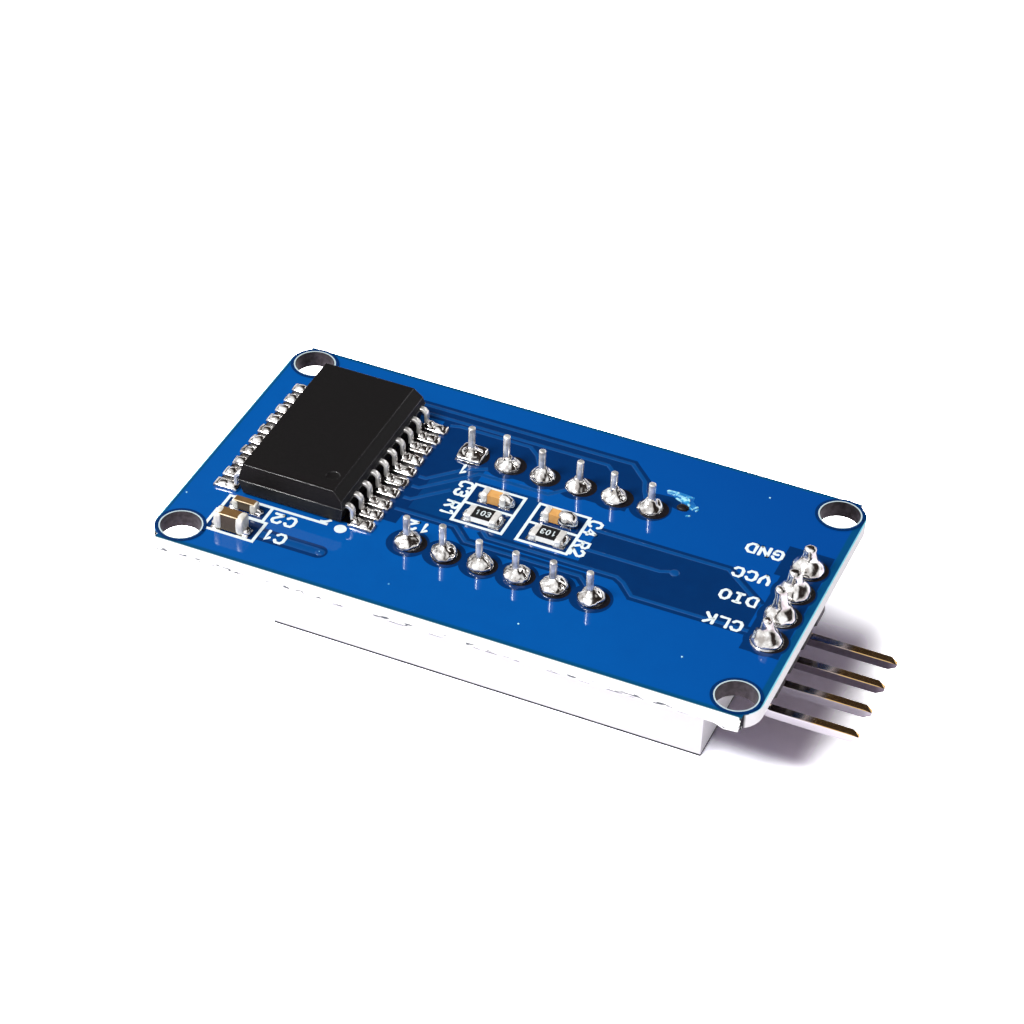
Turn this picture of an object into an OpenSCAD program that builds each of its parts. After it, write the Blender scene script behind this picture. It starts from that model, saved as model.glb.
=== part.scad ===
// Four-digit seven segment display module, lying on its display face.
// The face is at z = 0 and the side with the driver chip is up. +X points to the header.
// The origin lies on the face, under the middle of the four mounting holes.

/* [Circuit board] */
// Length of the board
board_l = 41.6; // [40:0.2:60]
// Width of the board's faces between the scored edges
board_w = 22.8; // [22:0.2:36]
// Thickness of the board
board_t = 1.1; // [0.8:0.1:2]
// Radius of the routed corners
corner_r = 1.75; // [0.5:0.05:2.5]
// Thickness of the web that was snapped along each long edge
web_t = 0.36; // [0.2:0.02:0.6]
// How far the snapped web stands out of the long edges
web_out = 0.24; // [0.1:0.02:0.4]
// How much the tear of the web goes in and out
tear = 0.1; // [0.04:0.02:0.16]
// Length of the burr at the header end of the front edge
burr_l = 1.7; // [0.8:0.1:3]
// How far the burr stands out of the web
burr_out = 0.34; // [0.1:0.02:0.6]
// Distance from the board's end to the end of the web
web_inset = 0.8; // [0.4:0.1:3]

/* [Mounting holes] */
// Diameter of the plated holes
hole_d = 2.7; // [2:0.1:3.2]
// Distance of the holes from the board's ends
hole_inset_l = 1.75; // [1.7:0.05:3]
// Distance of the holes from the long edges
hole_inset_w = 1.66; // [1.6:0.02:3]
// Thickness of the plating in the holes and on their rims
plating_t = 0.05; // [0.03:0.01:0.1]
// Width of the plated rim round each hole
rim_w = 0.09; // [0.06:0.01:0.15]

/* [Display] */
// Length of the display's shell
display_l = 30.1; // [30:0.1:38]
// Width of the display's shell
display_w = 14; // [13.6:0.1:20]
// Height of the display, from its face to the board
display_h = 7.3; // [6.8:0.1:9]
// Gap between the display and the header's housing
display_gap = 1.43; // [0.5:0.01:3]
// Thickness of the black print on the face
face_t = 0.12; // [0.06:0.02:0.3]
// Depth of the segment wells
well_depth = 4.3; // [3:0.1:4.8]
// How much narrower the wells are at their back, as a share
well_taper = 0.78; // [0.6:0.02:0.95]
// Thickness of the shell's walls round the back
shell_wall = 0.85; // [0.6:0.05:1.4]
// Height of a digit
digit_h = 9.14; // [8:0.02:11]
// Width of a digit
digit_w = 4.9; // [4:0.1:5.6]
// Distance from the middles of the outer digits to the display's ends
digit_margin = 4.1; // [3.8:0.1:4.6]
// Lean of the digits, in degrees
digit_lean = 9; // [0:1:12]
// Width of a segment
segment_w = 1.05; // [0.7:0.05:1.3]
// Gap between neighbouring segments
segment_gap = 0.24; // [0.1:0.02:0.4]
// Diameter of the dots of the colon
colon_d = 1.1; // [0.8:0.1:1.4]
// Thickness of the display's own small board
carrier_t = 1; // [0.6:0.1:1.4]
// Thickness of the resin behind the small board
back_seal_t = 0.8; // [0.3:0.1:1]
// Side of a light chip
light_chip = 0.34; // [0.2:0.02:0.5]

/* [Display pins] */
// Distance from one display pin to the next
pin_pitch = 2.54; // [2:0.01:2.6]
// Distance between the two rows of display pins
pin_row_span = 10.16; // [9:0.02:11]
// Diameter of a display pin
pin_d = 0.48; // [0.4:0.02:0.6]
// Diameter of the board's holes for the display pins
pin_hole_d = 0.9; // [0.8:0.05:1.1]
// How far the shortest display pin stands above the board
pin_stand = 1.95; // [1.5:0.05:3]
// Diameter of a display pin's solder joint at the board
joint_d = 1.74; // [1.4:0.02:2]
// Height of a display pin's solder joint
joint_h = 0.7; // [0.5:0.05:1.2]

/* [Driver chip] */
// Length of the chip's body
chip_l = 12.8; // [12.4:0.1:14]
// Width of the chip's body
chip_w = 7.5; // [6:0.1:8]
// Height of the chip's body
chip_h = 2.35; // [1.8:0.05:2.6]
// Gap under the chip's body
chip_seat = 0.1; // [0.05:0.05:0.3]
// Distance of the chip's middle from the board's plain end
chip_inset = 7.4; // [7:0.1:8]
// Distance of the chip's middle from the board's middle line
chip_y = 0.98; // [0.8:0.02:1.4]
// How much the moulded sides lean in
chip_draft = 0.24; // [0.1:0.02:0.35]
// Width of the bevel along the side of the first pin
chip_bevel = 0.62; // [0.3:0.02:0.9]
// Distance from one lead to the next
lead_pitch = 1.27; // [1.1:0.01:1.28]
// Distance between the tips of the leads on both sides
lead_span = 10.3; // [10:0.1:10.6]
// Width of a lead
lead_w = 0.41; // [0.3:0.01:0.46]
// Thickness of a lead
lead_t = 0.24; // [0.15:0.01:0.28]
// Radius of a lead's bends at the middle of its thickness
lead_bend_r = 0.36; // [0.3:0.02:0.4]

/* [Small parts] */
// Height of the end caps' metal over the ceramic
cap_t = 0.05; // [0.03:0.01:0.08]
// Length of the solder at each end of a small part
fillet_l = 0.34; // [0.2:0.02:0.4]
// Width of the printed lines
print_w = 0.21; // [0.1:0.01:0.26]
// Thickness of the print
print_t = 0.02; // [0.01:0.01:0.03]
// Thickness of the copper lands
land_t = 0.035; // [0.02:0.005:0.07]
// Diameter of the printed dot at the chip's first pin
first_pin_dot = 0.82; // [0.6:0.02:0.9]

/* [Header] */
// Distance from one header pin to the next
header_pitch = 2.54; // [2.5:0.01:2.6]
// Distance of the header pins from the board's end
header_inset = 1.85; // [1.6:0.05:2.4]
// Distance of the header's middle from the board's middle line
header_y = -0.3; // [-1:0.1:1]
// Width and height of the header's housing
housing_w = 2.54; // [2.3:0.01:2.6]
// Chamfer on the corners of each segment of the housing
housing_chamfer = 0.48; // [0.3:0.02:0.6]
// Side of a header pin
post_w = 0.64; // [0.5:0.02:0.7]
// Diameter of the board's holes for the header pins
post_hole_d = 1.05; // [1:0.05:1.2]
// How far the header pins stand above the board
post_stand = 1.75; // [1.4:0.05:2.2]
// Radius of the header pins' bend at the middle of their thickness
post_bend_r = 0.85; // [0.6:0.05:1]
// Gap between the housing and the lying leg of a header pin
leg_gap = 1.6; // [0.7:0.05:1.8]
// Reach of the lying legs from the upright ones
leg_reach = 6.65; // [4:0.05:9]
// Length of the point at the end of a leg
point_l = 0.5; // [0.3:0.05:0.8]
// Length of the point at the upper end of a header pin
post_point_l = 0.9; // [0.3:0.05:1.2]
// Diameter of a header pin's solder joint at the board
post_joint_d = 2.15; // [1.7:0.05:2.3]
// Height of a header pin's solder joint
post_joint_h = 1.35; // [0.9:0.05:1.4]

/* [Hidden] */

$fn = 48;
skin = 0.01;

top_z = display_h + board_t;
land_z = top_z + land_t;
hole_x = board_l / 2 - hole_inset_l;
hole_y = board_w / 2 - hole_inset_w;
rim_d = hole_d + 2 * (plating_t + rim_w);
header_x = board_l / 2 - header_inset;

display_x = header_x - housing_w / 2 - display_gap - display_l / 2;
shell_z = display_h;
well_back_z = face_t + well_depth;
carrier_back_z = well_back_z + carrier_t;
pins_in_row = 6;
pin_count = 2 * pins_in_row;
stand_extra = [0.35, 0.45, 0.15, 0.12, 0.06, 0.04, 0.16, 0.1, 0, 0, 0.28, 0.18];

chip_x = chip_inset - board_l / 2;
leads_in_row = 10;
part_line = chip_seat + chip_h / 2;
foot_pad_l = 1.5;
foot_pad_w = 0.6;
foot_pad_out = 0.42;

header_pins = 4;
leg_z = display_h - housing_w - leg_gap - post_w / 2;

// Size of each small part: length, width and height
c1_size = [2, 0.93, 1.38];
c2_size = [1.6, 0.66, 0.8];
c34_size = [1.6, 0.8, 0.75];
r_size = [2, 1.25, 0.5];
// Length of the metal at each end of a large capacitor, a small one and a resistor
large_band = 0.5;
small_band = 0.36;
resistor_band = 0.34;
// How far the copper lands reach in under a small part
land_under = 0.42;

// Place of each small part's middle. The first two go with the chip's end, the others with the display.
chip_end_y = chip_y - chip_l / 2;
c1_at = [chip_x - 2.55, chip_end_y - 3.28];
c2_at = [chip_x - 2.64, chip_end_y - 1.1];
c3_at = [display_x - 2.96, 1.12];
c4_at = [display_x + 1.42, 1.08];
r1_at = [display_x - 2.96, -0.82];
r2_at = [display_x + 1.6, -0.8];

function row_y(back) = back ? pin_row_span / 2 : -pin_row_span / 2;
function pin_x(i) = display_x + (i - (pins_in_row - 1) / 2) * pin_pitch;
// Pins 1 to 6 stand in the back row and 7 to 12 in the front row, counted back from the header
function pin_at(n) = n <= pins_in_row
    ? [pin_x(n - 1), row_y(true)]
    : [pin_x(pin_count - n), row_y(false)];
function post_y(i) = header_y + ((header_pins + 1) / 2 - i) * header_pitch;
function lead_y(i) = chip_y + (i - (leads_in_row - 1) / 2) * lead_pitch;

module at_holes() {
    for (sx = [-1, 1], sy = [-1, 1])
        translate([sx * hole_x, sy * hole_y, 0])
            children();
}

module rounded_plate(l, w, r) {
    difference() {
        square([l, w], center = true);
        for (sx = [-1, 1], sy = [-1, 1])
            translate([sx * l / 2, sy * w / 2])
                square(2 * r, center = true);
    }
    for (sx = [-1, 1], sy = [-1, 1])
        translate([sx * (l / 2 - r), sy * (w / 2 - r)])
            circle(r);
}

// Section of a long edge: both faces slope out to the web that was left by the scoring
module scored_edge() {
    half = board_w / 2;
    inner = half - corner_r;
    polygon([
        [inner, 0],
        [half, 0],
        [half + web_out, board_t / 2 - web_t / 2],
        [half + web_out, board_t / 2 + web_t / 2],
        [half, board_t],
        [inner, board_t]
    ]);
}

// The torn fibres of the web, seen from above
module torn_web(with_burr) {
    steps = 44;
    half = board_l / 2 - web_inset;
    edge = board_w / 2 + web_out;
    points = [for (i = [0 : steps])
        let (
            x = -half + 2 * half * i / steps,
            wave = tear * (0.5 + 0.5 * sin(i * 137)),
            in_burr = with_burr && x > half - burr_l,
            lift = in_burr ? burr_out : 0
        )
        [x, edge + wave + lift]];
    polygon(concat([[half, edge - corner_r], [-half, edge - corner_r]], points));
}

module web_side(with_burr) {
    half = board_l / 2 - web_inset;
    translate([-half, 0, 0])
        rotate([90, 0, 90])
            linear_extrude(2 * half)
                scored_edge();
    translate([0, 0, board_t / 2 - web_t / 2])
        linear_extrude(web_t)
            torn_web(with_burr);
}

module circuit_board() {
    color([0.03, 0.27, 0.6])
        translate([0, 0, display_h])
            difference() {
                union() {
                    linear_extrude(board_t)
                        rounded_plate(board_l, board_w, corner_r);
                    web_side(false);
                    mirror([0, 1, 0])
                        web_side(true);
                }
                translate([0, 0, -1])
                    linear_extrude(board_t + 2) {
                        at_holes()
                            circle(d = hole_d + 2 * plating_t);
                        for (n = [1 : pin_count])
                            translate(pin_at(n))
                                circle(d = pin_hole_d);
                        for (i = [1 : header_pins])
                            translate([header_x, post_y(i)])
                                circle(d = post_hole_d);
                    }
            }
}

module plating_section() {
    bore = hole_d / 2;
    lip = rim_d / 2;
    translate([bore, -plating_t])
        square([plating_t, board_t + 2 * plating_t]);
    for (z = [-plating_t, board_t])
        translate([bore, z])
            square([lip - bore, plating_t]);
}

module hole_plating() {
    color([0.75, 0.76, 0.78])
        translate([0, 0, display_h])
            at_holes()
                rotate_extrude()
                    plating_section();
}

module foot_pads() {
    for (side = [-1, 1], i = [0 : leads_in_row - 1])
        translate([chip_x + side * (lead_span / 2 + foot_pad_out - foot_pad_l / 2), lead_y(i)])
            square([foot_pad_l, foot_pad_w], center = true);
}

module end_pads(at, size) {
    reach = size.x / 2 + fillet_l;
    inner = size.x / 2 - land_under;
    for (side = [-1, 1])
        translate([at.x + side * (reach + inner) / 2, at.y])
            square([reach - inner, size.y], center = true);
}

module copper_lands() {
    color([0.8, 0.78, 0.72])
        translate([0, 0, top_z])
            linear_extrude(land_t) {
                foot_pads();
                end_pads(c1_at, c1_size);
                end_pads(c2_at, c2_size);
                end_pads(c3_at, c34_size);
                end_pads(c4_at, c34_size);
                end_pads(r1_at, r_size);
                end_pads(r2_at, r_size);
                for (n = [1 : pin_count])
                    translate(pin_at(n))
                        difference() {
                            if (n == 1)
                                square(joint_d, center = true);
                            else
                                circle(d = joint_d);
                            circle(d = pin_hole_d);
                        }
                for (i = [1 : header_pins])
                    translate([header_x, post_y(i)])
                        difference() {
                            circle(d = post_joint_d);
                            circle(d = post_hole_d);
                        }
            }
}

module print_frame(at, l, w) {
    translate(at)
        difference() {
            square([l, w], center = true);
            square([l - 2 * print_w, w - 2 * print_w], center = true);
        }
}

module board_print() {
    frame_l = 3.72;
    frame_w = 2.23;
    // Two frames share the line between them
    frame_step = (frame_w - print_w) / 2;
    left_mid = 0.36;
    right_mid = 0.3;
    line_l = 5;
    rim_sides = 12;
    color([0.93, 0.96, 0.97])
        translate([0, 0, top_z])
            linear_extrude(print_t)
                difference() {
                    union() {
                        print_frame([c3_at.x - 0.12, left_mid + frame_step], frame_l, frame_w);
                        print_frame([r1_at.x - 0.12, left_mid - frame_step], frame_l, frame_w);
                        print_frame([c4_at.x + 0.08, right_mid + frame_step], frame_l, frame_w);
                        print_frame([r2_at.x - 0.1, right_mid - frame_step], frame_l, frame_w);
                        print_frame([c2_at.x, chip_end_y - 1], 3.3, 1.74);
                        print_frame([c1_at.x, chip_end_y - 2.84], 3.74, 2.24);
                        translate([chip_x - 2.2, chip_end_y - 0.1 - print_w])
                            square([line_l, print_w]);
                        translate([chip_x + chip_w / 2, chip_end_y - 0.26])
                            circle(d = first_pin_dot);
                    }
                    // The print stays off the rims of the holes
                    at_holes()
                        circle(d = rim_d / cos(180 / rim_sides), $fn = rim_sides);
                }
}

// A segment is a bar with pointed ends, leaned by lean() after it is placed
function lean(p) = [p.x + p.y * tan(digit_lean), p.y];
function bar(len) = let (h = segment_w / 2, l = len / 2)
    [[-l, 0], [-l + h, h], [l - h, h], [l, 0], [l - h, -h], [-l + h, -h]];
function turned(p, up) = up ? [-p.y, p.x] : p;

across_l = digit_w - segment_w - segment_gap;
upright_l = (digit_h - segment_w) / 2 - segment_gap;
side_x = (digit_w - segment_w) / 2;
level_y = (digit_h - segment_w) / 2;
// Place of each segment in its digit, and whether it stands upright
segments = [
    [0, level_y, false],
    [side_x, level_y / 2, true],
    [side_x, -level_y / 2, true],
    [0, -level_y, false],
    [-side_x, -level_y / 2, true],
    [-side_x, level_y / 2, true],
    [0, 0, false]
];
digits = 4;
digit_pitch = (display_l - 2 * digit_margin) / (digits - 1);
function digit_x(i) = display_x + (i - (digits - 1) / 2) * digit_pitch;

// One prism for each segment of each digit, with the digits' tops towards -Y
module segment_prisms(depth, share) {
    for (i = [0 : digits - 1], s = segments)
        translate([digit_x(i), 0, 0])
            mirror([0, 1, 0])
                translate(lean([s[0], s[1]]))
                    linear_extrude(depth, scale = share)
                        polygon([for (p = bar(s[2] ? upright_l : across_l)) lean(turned(p, s[2]))]);
}

module colon_dots(depth, share) {
    for (side = [-1, 1])
        translate([display_x - side * level_y / 2 * tan(digit_lean), side * level_y / 2, 0])
            cylinder(depth, d1 = colon_d, d2 = colon_d * share);
}

module pocket(z, depth) {
    translate([display_x, 0, z + depth / 2])
        cube([display_l - 2 * shell_wall, display_w - 2 * shell_wall, depth], center = true);
}

module display_shell() {
    color([0.95, 0.95, 0.93])
        difference() {
            translate([display_x, 0, face_t])
                linear_extrude(shell_z - face_t)
                    square([display_l, display_w], center = true);
            translate([0, 0, face_t]) {
                segment_prisms(well_depth, well_taper);
                colon_dots(well_depth, well_taper);
            }
            pocket(well_back_z, shell_z);
        }
}

module display_face() {
    color([0.07, 0.07, 0.08])
        difference() {
            translate([display_x, 0, 0])
                linear_extrude(face_t)
                    square([display_l, display_w], center = true);
            translate([0, 0, -skin]) {
                segment_prisms(face_t + 2 * skin, 1);
                colon_dots(face_t + 2 * skin, 1);
            }
        }
}

// Milky resin fills the windows and wells, and seals the back of the small board
module segment_resin() {
    color([0.93, 0.94, 0.92, 0.9]) {
        difference() {
            union() {
                segment_prisms(face_t, 1);
                colon_dots(face_t, 1);
                translate([0, 0, face_t]) {
                    segment_prisms(well_depth, well_taper);
                    colon_dots(well_depth, well_taper);
                }
            }
            light_chips();
        }
        difference() {
            pocket(carrier_back_z, back_seal_t);
            for (n = [1 : pin_count])
                translate(pin_at(n))
                    cylinder(top_z, d = pin_d);
        }
    }
}

module light_carrier() {
    color([0.55, 0.6, 0.4])
        difference() {
            pocket(well_back_z, carrier_t);
            for (n = [1 : pin_count])
                translate(pin_at(n))
                    cylinder(top_z, d = pin_d);
        }
}

module light_chip_at(x, y) {
    translate([x, y, well_back_z - light_chip / 4])
        cube([light_chip, light_chip, light_chip / 2], center = true);
}

module light_chips() {
    color([0.85, 0.7, 0.3]) {
        for (i = [0 : digits - 1], s = segments)
            let (c = lean([s[0], s[1]]))
                light_chip_at(digit_x(i) + c.x, -c.y);
        for (side = [-1, 1])
            light_chip_at(display_x - side * level_y / 2 * tan(digit_lean), side * level_y / 2);
    }
}

// The pin starts in the small board, and its end is cut with a small chamfer
module display_pin(n) {
    stand = pin_stand + stand_extra[n - 1];
    chamfer = pin_d / 10;
    color([0.78, 0.78, 0.76])
        translate(concat(pin_at(n), [well_back_z])) {
            tall = top_z + stand - well_back_z;
            cylinder(tall - chamfer, d = pin_d);
            translate([0, 0, tall - chamfer])
                cylinder(chamfer, d1 = pin_d, d2 = pin_d - 2 * chamfer);
        }
}

// Solder climbs the pin from the land and fills the hole round it
function cone_radius(t, low, high) = high + (low - high) * pow(1 - t, 1.25);

module joint_section(low_r, high_r, height, hole_r, inner_r) {
    steps = 7;
    polygon(concat(
        [[inner_r, -land_t - board_t], [hole_r, -land_t - board_t], [hole_r, 0]],
        [for (i = [0 : steps]) [cone_radius(i / steps, low_r, high_r), height * i / steps]],
        [[inner_r, height]]
    ));
}

module display_solder(back) {
    first = back ? 1 : pins_in_row + 1;
    color([0.8, 0.8, 0.8])
        for (n = [first : first + pins_in_row - 1])
            translate(concat(pin_at(n), [land_z]))
                rotate_extrude()
                    joint_section(joint_d / 2, pin_d / 2 + 0.03, joint_h, pin_hole_d / 2, pin_d / 2);
}

// Outline of the chip across its leads. The side of the first pin has the bevel.
module chip_section() {
    half = chip_w / 2;
    polygon([
        [-half + chip_draft, chip_seat],
        [half - chip_draft, chip_seat],
        [half, part_line],
        [half - chip_draft / 2, chip_seat + chip_h - chip_bevel],
        [half - chip_draft / 2 - chip_bevel, chip_seat + chip_h],
        [-half + chip_draft, chip_seat + chip_h],
        [-half, part_line]
    ]);
}

module chip_side_section() {
    half = chip_l / 2;
    polygon([
        [-half + chip_draft, chip_seat],
        [half - chip_draft, chip_seat],
        [half, part_line],
        [half - chip_draft, chip_seat + chip_h],
        [-half + chip_draft, chip_seat + chip_h],
        [-half, part_line]
    ]);
}

module driver_chip() {
    dimple_d = 0.9;
    dimple_depth = 0.06;
    flash = 0.025;
    color([0.08, 0.08, 0.09])
        difference() {
            translate([chip_x, chip_y, land_z]) {
                difference() {
                    union() {
                        intersection() {
                            rotate([90, 0, 0])
                                linear_extrude(chip_l, center = true)
                                    chip_section();
                            rotate([90, 0, 90])
                                linear_extrude(chip_w, center = true)
                                    chip_side_section();
                        }
                        translate([0, 0, part_line])
                            cube([chip_w + 2 * flash, chip_l + 2 * flash, 2 * flash], center = true);
                    }
                    translate([chip_w / 2 - 1.45, -chip_l / 2 + 1.7, chip_seat + chip_h - dimple_depth])
                        cylinder(1, d = dimple_d);
                }
            }
            for (side = [-1, 1], i = [0 : leads_in_row - 1])
                lead_root(side, i);
        }
}

lead_root_l = 0.4;
module lead_root(side, i) {
    middle = chip_w / 2 - lead_root_l / 2;
    translate([chip_x + side * middle, lead_y(i), land_z + part_line])
        cube([lead_root_l + 0.1, lead_w, lead_t], center = true);
}

module bend(r, t) {
    intersection() {
        difference() {
            circle(r + t / 2);
            circle(r - t / 2);
        }
        square(r + t);
    }
}

// Side view of a gull wing lead, from its root in the body to its foot on the land
module lead_section() {
    root = chip_w / 2 - lead_root_l;
    foot_end = lead_span / 2;
    drop_x = chip_w / 2 + 0.08 + lead_bend_r;
    foot_z = lead_t / 2;
    translate([root, part_line - lead_t / 2])
        square([drop_x - lead_bend_r - root, lead_t]);
    translate([drop_x - lead_bend_r, part_line - lead_bend_r])
        bend(lead_bend_r, lead_t);
    translate([drop_x - lead_t / 2, foot_z + lead_bend_r])
        square([lead_t, part_line - foot_z - 2 * lead_bend_r]);
    translate([drop_x + lead_bend_r, foot_z + lead_bend_r])
        rotate(180)
            bend(lead_bend_r, lead_t);
    translate([drop_x + lead_bend_r, 0])
        square([foot_end - drop_x - lead_bend_r, lead_t]);
}

module lead(side, i) {
    translate([chip_x, lead_y(i), land_z])
        rotate([90, 0, side > 0 ? 0 : 180])
            linear_extrude(lead_w, center = true)
                lead_section();
}

module chip_leads(side) {
    color([0.8, 0.8, 0.8])
        for (i = [0 : leads_in_row - 1])
            lead(side, i);
}

// Solder wedges in front of and behind each foot, and low along its sides
module foot_solder_section() {
    out = lead_span / 2 + foot_pad_out;
    heel = out - foot_pad_l;
    polygon([
        [heel, 0],
        [out, 0],
        [out - 0.08, 0.07],
        [lead_span / 2 + 0.02, lead_t * 0.8],
        [lead_span / 2 - 0.1, 0.14],
        [heel + 0.55, 0.14],
        [heel + 0.36, 0.3],
        [heel + 0.1, 0.12]
    ]);
}

module chip_solder() {
    color([0.82, 0.82, 0.82])
        difference() {
            for (side = [-1, 1], i = [0 : leads_in_row - 1])
                translate([chip_x, lead_y(i), land_z])
                    rotate([90, 0, side > 0 ? 0 : 180])
                        linear_extrude(foot_pad_w, center = true)
                            foot_solder_section();
            for (side = [-1, 1], i = [0 : leads_in_row - 1])
                lead(side, i);
        }
}

// A small part's block, with the metal of its ends left out
module ceramic(at, size, colour) {
    color(colour)
        translate(concat(at, [land_z + cap_t]))
            linear_extrude(size.z - 2 * cap_t)
                square([size.x - 2 * cap_t, size.y - 2 * cap_t], center = true);
}

module ends(at, size, band) {
    edge_r = min(0.12, band / 3);
    color([0.85, 0.85, 0.85])
        difference() {
            translate(concat(at, [land_z]))
                for (side = [-1, 1])
                    intersection() {
                        linear_extrude(size.z)
                            rounded_plate(size.x, size.y, edge_r);
                        translate([0, 0, size.z / 2])
                            rotate([90, 0, 0])
                                linear_extrude(size.y, center = true)
                                    rounded_plate(size.x, size.z, edge_r);
                        translate([side * (size.x - band) / 2, 0, size.z / 2])
                            cube([band, size.y, size.z], center = true);
                    }
            ceramic(at, size, "white");
        }
}

module glaze(at, size) {
    clear = 0.36;
    color([0.06, 0.06, 0.07])
        translate(concat(at, [land_z + size.z - cap_t]))
            linear_extrude(cap_t)
                square([size.x - 2 * clear, size.y - 2 * cap_t], center = true);
}

// A ramp of solder from the land up each end cap
module end_fillets(at, size) {
    rise = size.z * 0.62;
    for (side = [-1, 1])
        translate(concat(at, [land_z]))
            rotate([90, 0, side > 0 ? 0 : 180])
                linear_extrude(size.y, center = true)
                    translate([size.x / 2, 0])
                        polygon([[0, 0], [fillet_l, 0], [fillet_l * 0.8, rise * 0.2],
                                 [fillet_l * 0.4, rise * 0.55], [0, rise]]);
}

module small_part_solder() {
    color([0.82, 0.82, 0.82])
        union() {
            end_fillets(c1_at, c1_size);
            end_fillets(c2_at, c2_size);
            end_fillets(c3_at, c34_size);
            end_fillets(c4_at, c34_size);
            end_fillets(r1_at, r_size);
            end_fillets(r2_at, r_size);
        }
}

module housing_segment() {
    half = housing_w / 2;
    side = header_pitch / 2;
    cut = housing_chamfer;
    polygon([
        [-half + cut, -side], [half - cut, -side], [half, -side + cut], [half, side - cut],
        [half - cut, side], [-half + cut, side], [-half, side - cut], [-half, -side + cut]
    ]);
}

module header_housing() {
    groove = 0.25;
    color([0.06, 0.06, 0.07])
        difference() {
            translate([0, 0, display_h - housing_w])
                linear_extrude(housing_w)
                    for (i = [1 : header_pins])
                        translate([header_x, post_y(i)])
                            housing_segment();
            for (i = [1 : header_pins])
                translate([header_x, post_y(i), display_h - housing_w / 2])
                    cube([post_w, post_w, 2 * housing_w], center = true);
            translate([header_x, header_y, display_h - housing_w])
                cube([housing_w / 2, header_pins * header_pitch, 2 * groove], center = true);
        }
}

// A square post, with its end cut to a blunt point from all four sides
module pointed_bar(len, point) {
    half = post_w / 2;
    tip = half * 0.45;
    outline = [[0, -half], [len - point, -half], [len, -tip], [len, tip], [len - point, half], [0, half]];
    intersection() {
        linear_extrude(post_w, center = true)
            polygon(outline);
        rotate([90, 0, 0])
            linear_extrude(post_w, center = true)
                polygon(outline);
    }
}

module header_post(i) {
    color([0.32, 0.27, 0.2])
        translate([header_x, post_y(i), leg_z]) {
            translate([0, 0, post_bend_r])
                rotate([0, -90, 0])
                    pointed_bar(top_z + post_stand - leg_z - post_bend_r, post_point_l);
            translate([post_bend_r, 0, post_bend_r])
                rotate([90, 0, 0])
                    rotate([0, 0, 180])
                        rotate_extrude(angle = 90)
                            translate([post_bend_r, 0])
                                square(post_w, center = true);
            translate([post_bend_r, 0, 0])
                pointed_bar(leg_reach - post_bend_r, point_l);
        }
}

module header_solder() {
    color([0.8, 0.8, 0.8])
        difference() {
            for (i = [1 : header_pins])
                translate([header_x, post_y(i), land_z])
                    rotate_extrude()
                        joint_section(post_joint_d / 2, post_w * 0.62, post_joint_h, post_hole_d / 2, 0);
            for (i = [1 : header_pins])
                header_post(i);
        }
}

circuit_board();
hole_plating();
copper_lands();
board_print();
display_shell();
display_face();
segment_resin();
light_carrier();
light_chips();
for (n = [1 : pin_count])
    display_pin(n);
display_solder(true);  // display_solder_back_row
display_solder(false);  // display_solder_front_row
driver_chip();
chip_leads(1);  // chip_leads_first_side
chip_leads(-1);  // chip_leads_far_side
chip_solder();
ceramic(c1_at, c1_size, [0.42, 0.3, 0.14]);  // c1_ceramic
ends(c1_at, c1_size, large_band);  // c1_ends
ceramic(c2_at, c2_size, [0.5, 0.37, 0.16]);  // c2_ceramic
ends(c2_at, c2_size, small_band);  // c2_ends
ceramic(c3_at, c34_size, [0.9, 0.7, 0.42]);  // c3_ceramic
ends(c3_at, c34_size, small_band);  // c3_ends
ceramic(c4_at, c34_size, [0.9, 0.7, 0.42]);  // c4_ceramic
ends(c4_at, c34_size, small_band);  // c4_ends
ceramic(r1_at, r_size, [0.9, 0.9, 0.9]);  // r1_ceramic
glaze(r1_at, r_size);  // r1_glaze
ends(r1_at, r_size, resistor_band);  // r1_ends
ceramic(r2_at, r_size, [0.9, 0.9, 0.9]);  // r2_ceramic
glaze(r2_at, r_size);  // r2_glaze
ends(r2_at, r_size, resistor_band);  // r2_ends
small_part_solder();
header_housing();
for (i = [1 : header_pins])
    header_post(i);
header_solder();
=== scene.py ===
# %% [markdown]
# # A four-digit display module, lying on its display
#
# The object is a small blue circuit board with a display soldered to one side and a driver
# chip, a few small parts and many solder joints on the other. Its solid parts come from the
# CAD frame at their true size. This lesson gives each of them its finish, and models what a
# designer leaves out of CAD because no tool cut it: flowing solder, ink, tracks under the
# mask and the soft edges of moulded parts.
#
# The first step loads the frame and measures it. Everything is in metres, in the row's frame:
# the display's face is at z = 0, the solder side is up and +X points to the pin header.

# %% Load the frame
import math
import random

import bpy
from mathutils import Matrix, Vector


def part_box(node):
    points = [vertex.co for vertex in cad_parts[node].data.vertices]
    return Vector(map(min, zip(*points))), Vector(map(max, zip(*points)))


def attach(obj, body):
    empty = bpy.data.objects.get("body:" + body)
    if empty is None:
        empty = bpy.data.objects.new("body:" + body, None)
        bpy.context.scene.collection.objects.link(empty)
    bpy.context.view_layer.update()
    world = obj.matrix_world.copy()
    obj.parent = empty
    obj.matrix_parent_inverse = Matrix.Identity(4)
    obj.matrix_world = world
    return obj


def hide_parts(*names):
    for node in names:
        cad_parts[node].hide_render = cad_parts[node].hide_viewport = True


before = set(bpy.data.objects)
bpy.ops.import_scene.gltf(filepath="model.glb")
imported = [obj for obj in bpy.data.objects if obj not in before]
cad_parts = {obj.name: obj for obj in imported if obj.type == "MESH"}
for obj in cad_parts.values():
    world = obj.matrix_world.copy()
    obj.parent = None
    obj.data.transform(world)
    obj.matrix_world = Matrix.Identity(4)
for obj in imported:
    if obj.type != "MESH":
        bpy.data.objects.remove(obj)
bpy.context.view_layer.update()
MM = 0.001
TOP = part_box("circuit_board")[1].z
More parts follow.
